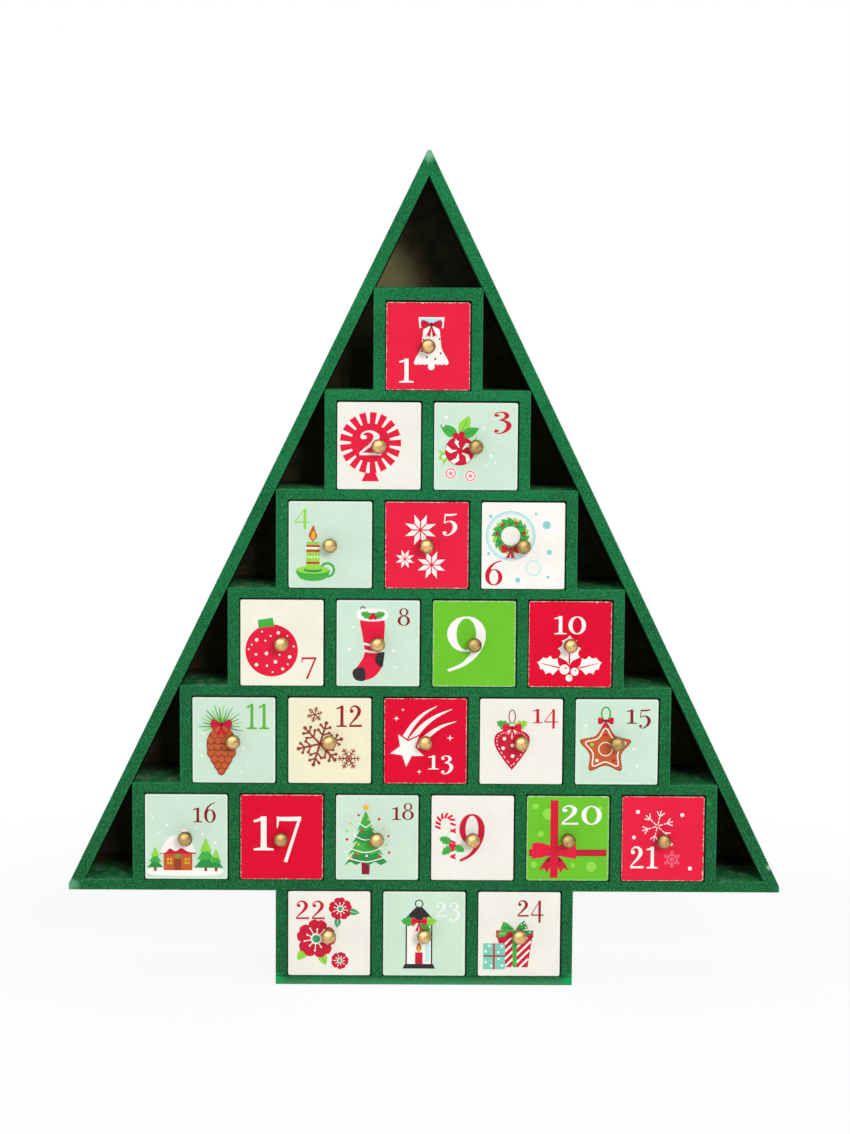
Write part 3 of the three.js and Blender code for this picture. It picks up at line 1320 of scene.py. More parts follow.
@dataclass
class Shape:
    """A flat printed shape: corners, the faces between them, its ink and its place in the pile."""

    ink: Ink
    corners: list[Point]
    faces: Faces
    level: int = 0

    def box(self) -> tuple[float, float, float, float]:
        """Its left, right, lower and upper bounds."""
        xs, zs = zip(*self.corners)
        return min(xs), max(xs), min(zs), max(zs)


@dataclass(frozen=True)
class Figure:
    """A figure for a height of 1 above its base line.

    It has brush strokes of (x, z, width), rings of (x, z, half width, half height, thin, thick), round ends
    of (x, z, radius), and the distance to the next figure's start.
    """

    advance: float
    strokes: tuple[tuple[Brushed, ...], ...] = ()
    rings: tuple[tuple[float, ...], ...] = ()
    balls: tuple[Brushed, ...] = ()


FIGURES: dict[str, Figure] = {
    "0": Figure(0.74, (), ((0.37, 0.49, 0.27, 0.455, 0.06, 0.19),)),
    "1": Figure(
        0.6,
        (
            ((0.3, 0.03, 0.19), (0.3, 0.3, 0.165), (0.3, 0.99, 0.165)),
            ((0.05, 0.85, 0.07), (0.16, 0.88, 0.09), (0.28, 0.96, 0.06)),
            ((0.05, 0.03, 0.06), (0.3, 0.05, 0.1), (0.55, 0.03, 0.06)),
        ),
    ),
    "2": Figure(
        0.71,
        (
            (
                (0.09, 0.7, 0.05), (0.11, 0.85, 0.06), (0.23, 0.955, 0.075), (0.38, 0.94, 0.12),
                (0.49, 0.8, 0.18), (0.47, 0.62, 0.18), (0.36, 0.44, 0.13), (0.2, 0.26, 0.09),
                (0.06, 0.09, 0.06),
            ),
            ((0.04, 0.055, 0.11), (0.3, 0.055, 0.11), (0.62, 0.06, 0.12)),
        ),
        balls=((0.155, 0.73, 0.085),),
    ),
    "3": Figure(
        0.69,
        (
            (
                (0.08, 0.75, 0.05), (0.12, 0.89, 0.06), (0.28, 0.96, 0.075), (0.42, 0.9, 0.14),
                (0.47, 0.73, 0.17), (0.39, 0.57, 0.12), (0.23, 0.48, 0.055),
            ),
            (
                (0.23, 0.48, 0.055), (0.42, 0.42, 0.13), (0.53, 0.22, 0.19), (0.49, -0.05, 0.17),
                (0.35, -0.25, 0.1), (0.19, -0.31, 0.065), (0.07, -0.21, 0.05),
            ),
        ),
        balls=((0.145, 0.76, 0.08), (0.135, -0.15, 0.08)),
    ),
    "4": Figure(
        0.74,
        (
            ((0.49, 0.98, 0.05), (0.04, 0.12, 0.055)),
            ((0.03, 0.1, 0.09), (0.69, 0.1, 0.09)),
            ((0.48, 0.98, 0.15), (0.48, -0.36, 0.13)),
        ),
    ),
    "5": Figure(
        0.69,
        (
            ((0.14, 0.93, 0.12), (0.38, 0.93, 0.13), (0.6, 0.98, 0.07)),
            ((0.15, 0.97, 0.05), (0.12, 0.44, 0.05)),
            (
                (0.12, 0.43, 0.05), (0.27, 0.54, 0.07), (0.44, 0.49, 0.14), (0.54, 0.27, 0.19),
                (0.5, 0, 0.17), (0.36, -0.22, 0.1), (0.2, -0.3, 0.065), (0.07, -0.21, 0.05),
            ),
        ),
        balls=((0.13, -0.14, 0.08),),
    ),
    "6": Figure(
        0.7,
        (
            (
                (0.115, 0.38, 0.17), (0.12, 0.66, 0.17), (0.21, 0.97, 0.13), (0.38, 1.21, 0.09),
                (0.61, 1.34, 0.06),
            ),
        ),
        ((0.345, 0.43, 0.23, 0.42, 0.055, 0.17),),
    ),
    "7": Figure(
        0.72,
        (
            ((0.05, 0.92, 0.13), (0.35, 0.92, 0.14), (0.64, 0.93, 0.14)),
            ((0.04, 0.66, 0.03), (0.055, 0.8, 0.055), (0.06, 0.985, 0.07)),
            ((0.61, 0.96, 0.08), (0.43, 0.32, 0.09), (0.25, -0.33, 0.1)),
        ),
    ),
    "8": Figure(0.68, (), ((0.33, 1.03, 0.185, 0.265, 0.055, 0.12), (0.33, 0.385, 0.25, 0.345, 0.055, 0.17))),
    "9": Figure(
        0.72,
        (
            (
                (0.575, 0.62, 0.17), (0.565, 0.3, 0.17), (0.47, -0.03, 0.14), (0.3, -0.3, 0.1),
                (0.06, -0.47, 0.08),
            ),
        ),
        ((0.345, 0.505, 0.23, 0.445, 0.055, 0.17),),
    ),
}
WEIGHT = 0.87  # how heavy the figures' strokes are, as a share of the widths above
END_SIDES, RING_SIDES = 14, 36  # the sides of a figure's round ends and of its rings


def band(path: Sequence[Brushed], closed: bool = False) -> tuple[list[Point], Faces]:
    """Works out a band of changing width.

    Args:
        path: points of (x, z, width) along its middle.
        closed: whether it closes on itself.

    Returns:
        Its corners, and the faces between them.
    """
    count = len(path)
    corners: list[Point] = []
    for k, (x, z, width) in enumerate(path):
        before = path[(k - 1) % count] if closed else path[max(k - 1, 0)]
        after = path[(k + 1) % count] if closed else path[min(k + 1, count - 1)]
        run = Vector((after[0] - before[0], after[1] - before[1])).normalized() * width / 2
        corners += [(x - run.y, z + run.x), (x + run.y, z - run.x)]
    joins = range(count if closed else count - 1)
    return corners, [(2 * k, 2 * k + 1, (2 * k + 3) % (2 * count), (2 * k + 2) % (2 * count)) for k in joins]


class Print:
    """The inks on one drawer's face, each shape laid on those that it covers."""

    def __init__(self, lift: float = 0.03, step: float = 0.02, bite: float = 0.02) -> None:
        """Starts with a bare face.

        Args:
            lift: how far the lowest shapes stand off the face.
            step: how much further each shape stands off than the one under it.
            bite: how far the shapes reach into the face.
        """
        self.lift = lift
        self.step = step
        self.bite = bite
        self.shapes: list[Shape] = []

    def lay(self, ink: Ink, corners: Iterable[Sequence[float]], faces: Faces | None = None) -> None:
        """Lays a shape on top of those that it covers.

        Args:
            ink: its ink.
            corners: its corners.
            faces: the faces between them, or None for one face round all of them.
        """
        points = [(p[0], p[1]) for p in corners]
        if faces is None:
            area = sum(a[0] * b[1] - b[0] * a[1] for a, b in zip(points, [*points[1:], points[0]]))
            if area < 0:
                points.reverse()
            faces = [tuple(range(len(points)))]
        shape = Shape(ink, points, faces)
        left, right, low, high = shape.box()
        for other in self.shapes:
            box = other.box()
            if left < box[1] and right > box[0] and low < box[3] and high > box[2]:
                shape.level = max(shape.level, other.level + 1)
        self.shapes.append(shape)

    def blob(
        self, ink: Ink, path: Sequence[Point], x: float = 0, z: float = 0, turn: float = 0, steps: int = 5
    ) -> None:
        """Lays a rounded shape through the points of a closed path."""
        self.lay(ink, turned(smooth(path, True, steps), x, z, turn))

    def patch(self, ink: Ink, corners: Sequence[Point], x: float = 0, z: float = 0, turn: float = 0) -> None:
        """Lays a shape with straight sides."""
        self.lay(ink, turned(corners, x, z, turn))

    def bar(self, ink: Ink, left: float, low: float, right: float, high: float) -> None:
        """Lays an upright rectangle."""
        self.patch(ink, [(left, low), (right, low), (right, high), (left, high)])

    def disc(self, ink: Ink, x: float, z: float, radius: float, high: float | None = None) -> None:
        """Lays a disc or an ellipse.

        Args:
            ink: its ink.
            x: its middle.
            z: its middle.
            radius: its half width.
            high: its half height, if that is another.
        """
        high = radius if high is None else high
        sides = min(56, max(14, ceil(5 * max(radius, high) ** 0.7) * 2))
        rim = [(radius * cos(2 * pi * k / sides), high * sin(2 * pi * k / sides)) for k in range(sides)]
        self.lay(ink, turned(rim, x, z))

    def dots(self, ink: Ink, *places: Brushed) -> None:
        """Lays discs of (x, z, radius)."""
        for x, z, radius in places:
            self.disc(ink, x, z, radius)

    def strip(self, ink: Ink, path: Sequence[Brushed], closed: bool = False) -> None:
        """Lays a band of changing width."""
        self.lay(ink, *band(path, closed))

    def brush(self, ink: Ink, path: Sequence[Brushed], closed: bool = False, steps: int = 5) -> None:
        """Lays a rounded band through points of (x, z, width)."""
        self.strip(ink, smooth(path, closed, steps), closed)

    def line(self, ink: Ink, x0: float, z0: float, x1: float, z1: float, width: float) -> None:
        """Lays a straight bar."""
        self.strip(ink, [(x0, z0, width), (x1, z1, width)])

    def ring(
        self, ink: Ink, x: float, z: float, radius: float, width: float, high: float | None = None
    ) -> None:
        """Lays a ring or an oval, measured to the middle of its band.

        Args:
            ink: its ink.
            x: its middle.
            z: its middle.
            radius: its half width.
            width: the band's width.
            high: its half height, if that is another.
        """
        high = radius if high is None else high
        sides = min(64, max(16, ceil(6 * radius**0.7) * 2))
        turns = [2 * pi * k / sides for k in range(sides)]
        self.strip(ink, [(x + radius * cos(t), z + high * sin(t), width) for t in turns], closed=True)

    def star(
        self, ink: Ink, x: float, z: float, outer: float, inner: float, tips: int, turn: float = 90
    ) -> None:
        """Lays a star with straight sides."""
        self.patch(ink, star_rim(outer, inner, tips), x, z, turn)

    def leaf(
        self, ink: Ink, x: float, z: float, length: float, width: float, turn: float, vein: Ink | None = None,
        rim: Sequence[Point] = LEAF_RIM, rib: Brushed = (0.05, 0.85, 0.09),
    ) -> None:
        """Lays a leaf that grows from a point.

        Args:
            ink: its ink.
            x: where it grows from.
            z: where it grows from.
            length: its length.
            width: its width.
            turn: which way it grows, in degrees from +x.
            vein: the ink of its midrib, if it has one.
            rim: its outline for a length and width of 1.
            rib: where the midrib starts and ends, and how heavy it is there at first.
        """
        self.patch(ink, scaled(rim, length, width), x, z, turn)
        if vein is not None:
            start, end, heavy = rib
            foot, tip = turned([(start * length, 0), (end * length, 0)], x, z, turn)
            self.strip(vein, [(*foot, width * heavy), (*tip, width * 0.03)])

    def holly(
        self, ink: Ink, x: float, z: float, length: float, width: float, turn: float, vein: Ink = Ink.MOSS
    ) -> None:
        """Lays a holly leaf, as leaf does."""
        self.leaf(ink, x, z, length, width, turn, vein, HOLLY_RIM, (0.02, 0.82, 0.08))

    def bow(self, ink: Ink, x: float, z: float, wide: float, high: float, tails: float) -> None:
        """Lays a ribbon bow with a dark knot and creases.

        Args:
            ink: the ribbon's ink.
            x: the knot's place.
            z: the knot's place.
            wide: the width over both loops.
            high: the loops' height.
            tails: how far the ends hang down.
        """
        tail = [(0, 0), (0.12, -0.45), (0.3, -1), (0.19, -0.82), (0.06, -0.96), (0, -0.3)]
        loop = [(0, 0), (0.2, 0.34), (0.42, 0.5), (0.5, 0.2), (0.48, -0.28), (0.36, -0.44), (0.16, -0.22)]
        crease = [(0.04, 0.02, 0.04), (0.2, 0.1, 0.07), (0.36, 0.12, 0.03)]
        for way in (-wide, wide):
            self.patch(ink, scaled(tail, way, tails), x, z)
            self.blob(ink, scaled(loop, way, high), x, z, steps=4)
            self.brush(Ink.WINE, [(x + t * way, z + w * high, b * high) for t, w, b in crease], steps=4)
        self.disc(Ink.WINE, x, z, wide * 0.085, high * 0.24)

    def flake(
        self, ink: Ink, x: float, z: float, arm: float, turn: float, width: float, ends: float = 0
    ) -> None:
        """Lays a six-armed snowflake.

        Args:
            ink: its ink.
            x: its middle.
            z: its middle.
            arm: the length of its arms.
            turn: the direction of its first arm, in degrees.
            width: the width of its lines.
            ends: the radius of the dots at its arms' ends, or 0 for none.
        """
        for k in range(6):
            way = turn + 60 * k
            tip = turned([(arm, 0)], x, z, way)[0]
            self.line(ink, x, z, *tip, width)
            for at, reach in ((0.42, 0.26), (0.7, 0.22)):
                for side in (-1, 1):
                    twig = [(at * arm, 0), (at * arm + reach * arm * 0.7, side * reach * arm)]
                    foot, end = turned(twig, x, z, way)
                    self.line(ink, *foot, *end, width * 0.85)
                    if ends:
                        self.disc(ink, *end, ends * 0.8)
            if ends:
                self.disc(ink, *tip, ends)

    def figures(self, ink: Ink, text: str, left: float, right: float, base: float, height: float) -> None:
        """Lays a number in old-style figures.

        Args:
            ink: its ink.
            text: the number.
            left: its left end.
            right: its right end.
            base: the height of its base line.
            height: the height of a 1 above that.
        """
        start = 0.0
        shapes: list[tuple[list[Point], Faces | None]] = []
        for figure in (FIGURES[character] for character in text):
            for x, z, radius in figure.balls:
                rim = [2 * pi * k / END_SIDES for k in range(END_SIDES)]
                shapes.append(([(x + start + radius * cos(t), z + radius * sin(t)) for t in rim], None))
            for stroke in figure.strokes:
                shapes.append(band(smooth([(x + start, z, width * WEIGHT) for x, z, width in stroke])))
            for x, z, wide, tall, thin, thick in figure.rings:
                turns = [2 * pi * k / RING_SIDES for k in range(RING_SIDES)]
                widths = [WEIGHT * (thin + (thick - thin) * abs(cos(t)) ** 1.3) for t in turns]
                path = [(x + start + wide * cos(t), z + tall * sin(t), w) for t, w in zip(turns, widths)]
                shapes.append(band(path, closed=True))
            start += figure.advance
        across = [corner[0] for corners, _ in shapes for corner in corners]
        edge = min(across)
        scale = (right - left) / (max(across) - edge)
        for corners, faces in shapes:
            self.lay(ink, [(left + (x - edge) * scale, base + z * height) for x, z in corners], faces)

    def build(self, name: str, move: Sequence[float]) -> bpy.types.Object:
        """Makes the print a mesh of closed slabs.

        Args:
            name: the piece's name.
            move: where the middle of the drawer's face is.

        Returns:
            The print.
        """
        corners: list[tuple[float, float, float]] = []
        faces: Faces = []
        inks = list(dict.fromkeys(shape.ink for shape in self.shapes))
        slots: list[int] = []
        for shape in self.shapes:
            start = len(corners)
            y = -(self.lift + shape.level * self.step) * MM
            corners += [(x * MM, y, z * MM) for x, z in shape.corners]
            faces += [tuple(start + k for k in face) for face in shape.faces]
            slots += [inks.index(shape.ink)] * len(shape.faces)
        mesh = bpy.data.meshes.new(name)
        mesh.from_pydata(corners, [], faces)
        for ink in inks:
            mesh.materials.append(material_of(ink.value))
        mesh.polygons.foreach_set("material_index", slots)
        obj = bpy.data.objects.new(name, mesh)
        clear_bench()
        bpy.context.collection.objects.link(obj)
        bpy.context.view_layer.objects.active = obj
        obj.select_set(True)
        bpy.ops.object.mode_set(mode="EDIT")
        bpy.ops.mesh.select_mode(type="FACE")
        bpy.ops.mesh.select_all(action="SELECT")
        bpy.ops.mesh.extrude_region_move(TRANSFORM_OT_translate={"value": (0, MM, 0)})
        solid = bmesh.from_edit_mesh(mesh)
        for corner in solid.verts:
            if corner.co.y > 0:
                corner.co.y = self.bite * MM
        bmesh.update_edit_mesh(mesh)
        bpy.ops.mesh.select_all(action="SELECT")
        bpy.ops.mesh.normals_make_consistent(inside=False)
        clear_bench()
        mesh.transform(Matrix.Translation(Vector(move) * MM))
        return obj


# The prints


def print_01(p: Print) -> None:
    """A white bell under a pale blue band and a red bow, with a 1."""
    x = 1.6
    half = [(3.2, 9.4), (4.4, 4.6), (5.2, -1.4), (8, -6.6), (5.4, -8.2)]
    p.blob(Ink.WHITE, mirrored(half), x)
    for k in range(8):
        p.disc(Ink.WHITE, x + 2.1 * (k - 3.5), -7.9, 1.25)
    p.patch(Ink.WHITE, [(-4.3, 9), (7.5, 9), (8, 14.3), (-4.8, 14.3)])
    p.patch(Ink.SKY, [(-3.8, 9.7), (7, 9.7), (7.4, 13.7), (-4.2, 13.7)])
    p.bow(Ink.RED, x, 10.6, 10.5, 4.6, 6.4)
    p.dots(
        Ink.WINE, (-2.2, 3.2, 0.5), (5.6, 3.6, 0.5), (6.2, -3.4, 0.5), (-0.6, -5.4, 0.5), (-3.2, -2.4, 0.5),
        (3.6, -6.2, 0.5),
    )
    p.disc(Ink.WHITE, x, -10, 1.7)
    p.figures(Ink.WHITE, "1", -14.3, -7, -18, 12)


def print_02(p: Print) -> None:
    """A red and white rosette with a 2."""
    x, z = -4.2, 1.5
    p.patch(Ink.BRIGHT, [(-6.2, -12.5), (-2.2, -12.5), (0.1, -17.6), (-8.6, -17.6)])
    p.disc(Ink.WHITE, x, z, 15)
    for k in range(17):
        wedge = [(9.2, -1.25), (15.1, -1.75), (15.1, 1.75), (9.2, 1.25)]
        p.patch(Ink.BRIGHT, wedge, x, z, 360 * k / 17)
    p.disc(Ink.BRIGHT, x, z, 9.7)
    p.figures(Ink.WHITE, "2", -9.7, 1.1, -4.7, 12.3)


def print_03(p: Print) -> None:
    """A wrapped sweet with holly, and a 3."""
    p.leaf(Ink.GREEN, -9, 5, 10.5, 5.4, 148, Ink.MOSS)
    p.leaf(Ink.LIME, -8, 6, 10.5, 5.6, 62, Ink.GREEN)
    p.leaf(Ink.GREEN, -7.4, 5, 10, 5, 24, Ink.MOSS)
    x, z = -8, -2.2
    for turn in (200, 20):
        fan = [(4.5, 0), (10.6, 4.3), (9.4, 2), (11.3, 0.2), (9.4, -1.9), (10.4, -4.2)]
        p.patch(Ink.LIME, fan, x, z, turn)
        p.patch(Ink.WHITE, [(4.9, 0), (9.3, 1.3), (9.3, -0.8)], x, z, turn)
    p.disc(Ink.RED, x, z, 7.3)
    for k in range(5):
        swirl = [(0.7, 0), (3.4, 1.9), (6.8, 1.4), (6.1, 3.7), (3, 3.7)]
        p.patch(Ink.WHITE, swirl, x, z, 72 * k)
    p.disc(Ink.RED, x, z, 1.6)
    p.dots(Ink.RED, (-9.9, 5.4, 1.5), (-7, 6, 1.5), (-8.4, 4, 1.4))
    for x, z in ((-12.4, -13.4), (-2.6, -14.6)):
        p.disc(Ink.WHITE, x, z, 3)
        p.ring(Ink.PINK, x, z, 2.3, 0.7)
        p.star(Ink.PINK, x, z, 1.7, 0.6, 5)
    p.dots(
        Ink.WHITE, (4.2, 9, 0.6), (7.6, -4.6, 0.8), (5.4, -9.4, 0.5), (9.6, -8, 0.5), (-16.2, 10.2, 0.6),
        (-14.8, 14.4, 0.9),
    )
    p.figures(Ink.RED, "3", 8.9, 17.6, 9.1, 8.3)


def print_04(p: Print) -> None:
    """A striped candle in a green chamberstick, with a 4."""
    p.ring(Ink.GREEN, -1.4, -12.6, 3.3, 1.2)
    dish = [(-16.8, -12.4), (-8.6, -13.2), (-0.4, -12.4), (-2.4, -16.9), (-8.6, -18.2), (-14.8, -16.9)]
    p.blob(Ink.GREEN, dish)
    p.disc(Ink.LIME, -8.6, -12.6, 8.2, 1.9)
    p.disc(Ink.MOSS, -8.6, -12.7, 4.6, 1.1)
    p.patch(Ink.LIME, [(-12, -12.6), (-5.2, -12.6), (-5.5, 1.4), (-11.7, 1.4)])
    for low, ink in ((-3.6, Ink.RED), (-2.2, Ink.WHITE), (-1.2, Ink.RED), (-9.6, Ink.RED)):
        p.bar(ink, -11.9, low, -5.3, low + 1)
    for k in range(4):
        p.star(Ink.WHITE, -10.9 + 1.55 * k, -6.2, 0.75, 0.35, 4)
    p.line(Ink.BROWN, -8.6, 1.2, -8.6, 3, 0.5)
    p.blob(Ink.RUST, [(-8.6, 1.9), (-6.5, 4.2), (-7.4, 6.6), (-8.3, 9.6), (-9.9, 6.8), (-10.7, 4.2)])
    p.blob(Ink.GOLD, [(-8.6, 2.5), (-7.4, 4.1), (-8.3, 7), (-9.7, 4.3)])
    p.figures(Ink.LIME, "4", -17.8, -10.2, 10.4, 7.6)


def print_05(p: Print) -> None:
    """Three white eight-pointed stars with a 5."""
    for x, z, size in ((-3.2, 7.6, 8.2), (-10.8, -6.9, 4.9), (2.4, -9.8, 7.4)):
        for k in range(8):
            petal = [(0.1, 0), (0.5, 0.165), (1, 0), (0.5, -0.165)]
            p.patch(Ink.WHITE, scaled(petal, size, size), x, z, 22 + 45 * k)
    p.figures(Ink.WHITE, "5", 7.8, 15.1, 7.5, 8.3)


def print_06(p: Print) -> None:
    """A leafy wreath in a pale ring, with dots and a 6."""
    x, z = -6.3, 4.9
    p.ring(Ink.AQUA, x, z, 11.4, 1.3)
    p.ring(Ink.TEAL, x, z, 12.1, 0.35)
    p.ring(Ink.MOSS, x, z, 6.9, 2.6)
    for k in range(18):
        way = 20 * k
        foot = turned([(6.9, 0)], x, z, way)[0]
        p.leaf(Ink.GREEN if k % 3 else Ink.LIME, *foot, 4, 1.9, way + 62)
        p.leaf(Ink.GREEN if k % 2 else Ink.MOSS, *foot, 3.6, 1.7, way + 138)
    for way in (12, 68, 128, 172, 232, 304):
        p.disc(Ink.RED, *turned([(6.9, 0)], x, z, way)[0], 0.85)
    p.bow(Ink.RED, x, z - 6.6, 9, 4.4, 5)
    p.dots(
        Ink.TEAL, (-16.4, 14.6, 0.9), (11.6, 10.4, 2), (13, -3.2, 1.3), (-2.6, -17.2, 1.3), (-17.2, -4, 0.8),
        (12.4, -15.6, 0.8), (6.2, 16, 0.7),
    )
    p.ring(Ink.AQUA, 5.2, -11.2, 3.6, 0.8)
    p.figures(Ink.RED, "6", -18.8, -10.2, -19.7, 9.1)


def print_07(p: Print) -> None:
    """A red bauble with white dots, and a 7."""
    p.ring(Ink.AQUA, -8.5, 13.6, 2.1, 0.55)
    p.ring(Ink.WHITE, -8.5, 13.9, 2.1, 0.5)
    p.disc(Ink.BRIGHT, -5.1, -3.9, 13.1)
    p.patch(Ink.GREEN, [(-4, -2.1), (4, -2.1), (3.7, 2.1), (-3.7, 2.1)], -8, 9.9, 8)
    p.dots(
        Ink.WHITE, (-1.8, 5, 0.85), (2.7, 3.4, 0.45), (-9.9, 5.6, 0.45), (-16.6, -3.3, 0.45),
        (-12.9, -5.9, 0.6), (-7.7, -5.4, 0.9), (3.9, -7.1, 0.9), (-12.7, -11.1, 0.9), (3, -10.8, 0.45),
        (-12.6, 1.4, 0.9), (-8.2, 1, 0.5), (-5.6, 3.4, 0.5), (-3.2, -9.6, 0.9), (-7.4, -11.6, 0.6),
        (0.4, -13.2, 0.75), (5.9, -1.8, 0.5), (-1.2, -6, 0.5), (-15, -1, 0.45), (-4.6, -14.8, 0.45),
    )
    p.figures(Ink.RED, "7", 9.8, 17.3, -15.4, 8.3)


def print_08(p: Print) -> None:
    """A red stocking with a white cuff and holly, with an 8."""
    p.ring(Ink.BLACK, -7.6, 17.3, 1.1, 0.55)
    leg = [
        (-8.4, 13), (2.4, 13), (3, 2), (2.8, -6), (1.6, -12.6), (-3, -17.6), (-10.2, -18.6), (-12.4, -14.6),
        (-9.6, -10.8), (-6.8, -5.4), (-7.6, 3),
    ]
    p.blob(Ink.BRIGHT, leg)
    p.blob(Ink.BLACK, [(-11.9, -13.2), (-7, -12.4), (-6.4, -18.5), (-10.6, -18.7), (-12.6, -16)])
    p.blob(Ink.BLACK, [(3, -4.2), (2.9, -8.2), (1.9, -12.2), (-1.4, -9.2), (-0.4, -5.2)])
    for low in (-0.6, 2.8):
        p.brush(Ink.WHITE, [(-7.3, low - 3, 1.2), (-2.4, low - 3.8, 1.2), (2.9, low - 3, 1.2)])
    p.blob(Ink.WHITE, [(-10, 16.6), (-3, 17.4), (4, 16.6), (4.4, 12.2), (-2.8, 11), (-9.8, 12.2)])
    p.holly(Ink.GREEN, -2.8, 13.2, 6.4, 4.2, 162)
    p.holly(Ink.GREEN, -2.4, 13.2, 6.4, 4.2, 18)
    p.dots(Ink.RED, (-3.6, 12.8, 1.1), (-1.6, 12.9, 1.1), (-2.6, 14.3, 1.1))
    p.dots(
        Ink.WHITE, (-12.6, 8, 0.6), (7.6, -3.6, 0.7), (-14.4, -3, 0.8), (8.6, -12, 0.5), (-11.8, 1.6, 0.5),
    )
    p.figures(Ink.WINE, "8", 9.7, 15.9, 8.8, 6.77)


def print_09(p: Print) -> None:
    """A large 9."""
    p.figures(Ink.WHITE, "9", -13.5, 5.7, -4.7, 18.9)


def print_10(p: Print) -> None:
    """White holly with a 10."""
    p.holly(Ink.WHITE, -0.3, -10, 14.6, 11.6, 90, Ink.BRIGHT)
    p.holly(Ink.WHITE, -4.6, -12, 12.2, 9.6, 166, Ink.BRIGHT)
    p.holly(Ink.WHITE, 4.2, -12, 12.2, 9.6, 14, Ink.BRIGHT)
    p.dots(Ink.WHITE, (-2.7, -12.7, 2.5), (2.4, -13.8, 2), (-0.4, -17, 1.7))
    p.dots(Ink.BRIGHT, (-2.1, -12, 0.45), (2.9, -13.2, 0.4), (0, -16.5, 0.35))
    p.figures(Ink.WHITE, "10", -8.1, 7.8, 5, 9.3)


def print_11(p: Print) -> None:
    """A pine cone under green sprigs and a red bow, with an 11."""
    x = -6.2
    for turn in range(-12, 193, 12):
        ink = (Ink.GREEN, Ink.LIME, Ink.MOSS)[turn // 12 % 3]
        foot, tip = turned([(1, 0), (9.5 + 1.6 * (turn // 12 % 2), 0)], x, 6.8, turn)
        p.strip(ink, [(*foot, 0.9), (*tip, 0.25)])
    rows = ((-15.2, 1), (-12.4, 2), (-9.4, 3), (-6.2, 4), (-3, 4), (0.2, 4), (3.2, 3), (5.8, 2))
    p.blob(Ink.BROWN, mirrored([(0, 7.6), (5.4, 4), (7.4, -2.4), (5.4, -9.8), (0, -17.4)]), x)
    scale = [(-1.95, 1), (0, 2.1), (1.95, 1), (1.5, -1.3), (0, -2.2), (-1.5, -1.3)]
    for up, count in rows:
        for k in range(count):
            across = x + (k - (count - 1) / 2) * 3.5
            p.blob(Ink.BROWN, scale, across, up - 0.5, 0, 3)
            p.blob(Ink.RUST, scaled(scale, 0.84, 0.84), across, up, 0, 3)
    p.bow(Ink.RED, x, 8, 10.5, 5, 6)
    p.dots(Ink.WHITE, (4.6, -4, 0.7), (7, -11.4, 0.5), (-16, -8, 0.7), (-15.4, 3.2, 0.5), (3.2, -16, 0.5))
    p.figures(Ink.SAP, "11", 6.4, 17.7, 5.5, 13.1)


def print_12(p: Print) -> None:
    """Three brown snowflakes with a 12."""
    p.flake(Ink.BROWN, -4.9, -1.7, 11, 13, 0.95, 0.95)
    p.flake(Ink.BROWN, -7.5, 13.2, 3.9, 15, 0.5)
    p.flake(Ink.BROWN, 9.6, -9.1, 5.7, 0, 0.55)
    p.ring(Ink.BROWN, 9.6, -9.1, 1.5, 0.5)
    p.figures(Ink.BRICK, "12", 3.3, 16.1, 6.9, 11)


def print_13(p: Print) -> None:
    """A white shooting star with a 13."""
    for path in (
        [(-8, -1, 3.4), (-2, 6.8, 2.6), (5, 12.4, 1.6), (13.2, 16.2, 0.3)],
        [(-6, -4, 3), (1.6, 3, 2.3), (8, 7.4, 1.4), (15.4, 10, 0.3)],
        [(-10.6, 1.4, 2.6), (-6.2, 8.4, 2.1), (-0.6, 14, 1.3), (5.6, 17.6, 0.3)],
    ):
        p.brush(Ink.WHITE, path)
    p.star(Ink.BRIGHT, -9, -4.2, 10.2, 5, 5, 50)
    p.star(Ink.WHITE, -9, -4.2, 8.8, 4, 5, 50)
    for x, z, size in ((12.4, 1.6, 1.7), (-14.6, 11.4, 1.5), (-3, -15.6, 1.3), (-11.4, 15.8, 0.9)):
        p.star(Ink.WHITE, x, z, size, size * 0.3, 4)
    p.figures(Ink.WHITE, "13", 1.4, 14, -14.4, 7.2)


def print_14(p: Print) -> None:
    """A dotted red heart on a ribbon, with a 14."""
    x = -4.6
    p.ring(Ink.WINE, x, 12.6, 1.6, 0.5, 3.4)
    p.holly(Ink.GREEN, x - 0.4, 6.4, 8.4, 5.4, 154)
    p.holly(Ink.LIME, x + 0.4, 6.4, 8.4, 5.4, 26, Ink.GREEN)
    half = smooth([(0, 1.6), (2.2, 4.6), (5.4, 5.2), (8.6, 2.6), (8.4, -2.4), (4.8, -8.4), (0, -14.6)])
    heart = mirrored(half)
    p.patch(Ink.RED, heart, x)
    for k in range(0, len(heart) - 1, 2):
        start, end = ((x + 0.85 * a, -1 + 0.85 * (b + 1)) for a, b in (heart[k], heart[k + 1]))
        p.line(Ink.WHITE, *start, *end, 0.35)
    places = ((-3.8, 1.4), (3.6, 1), (0.2, -2), (-4.4, -3.4), (4.2, -3.8), (0.4, -7.4))
    p.dots(Ink.WHITE, *((x + across, up, 0.9) for across, up in places))
    p.bow(Ink.BRIGHT, x, 6.8, 9.6, 4.8, 5.4)
    p.figures(Ink.RED, "14", 5.6, 18.3, 9.3, 7.3)


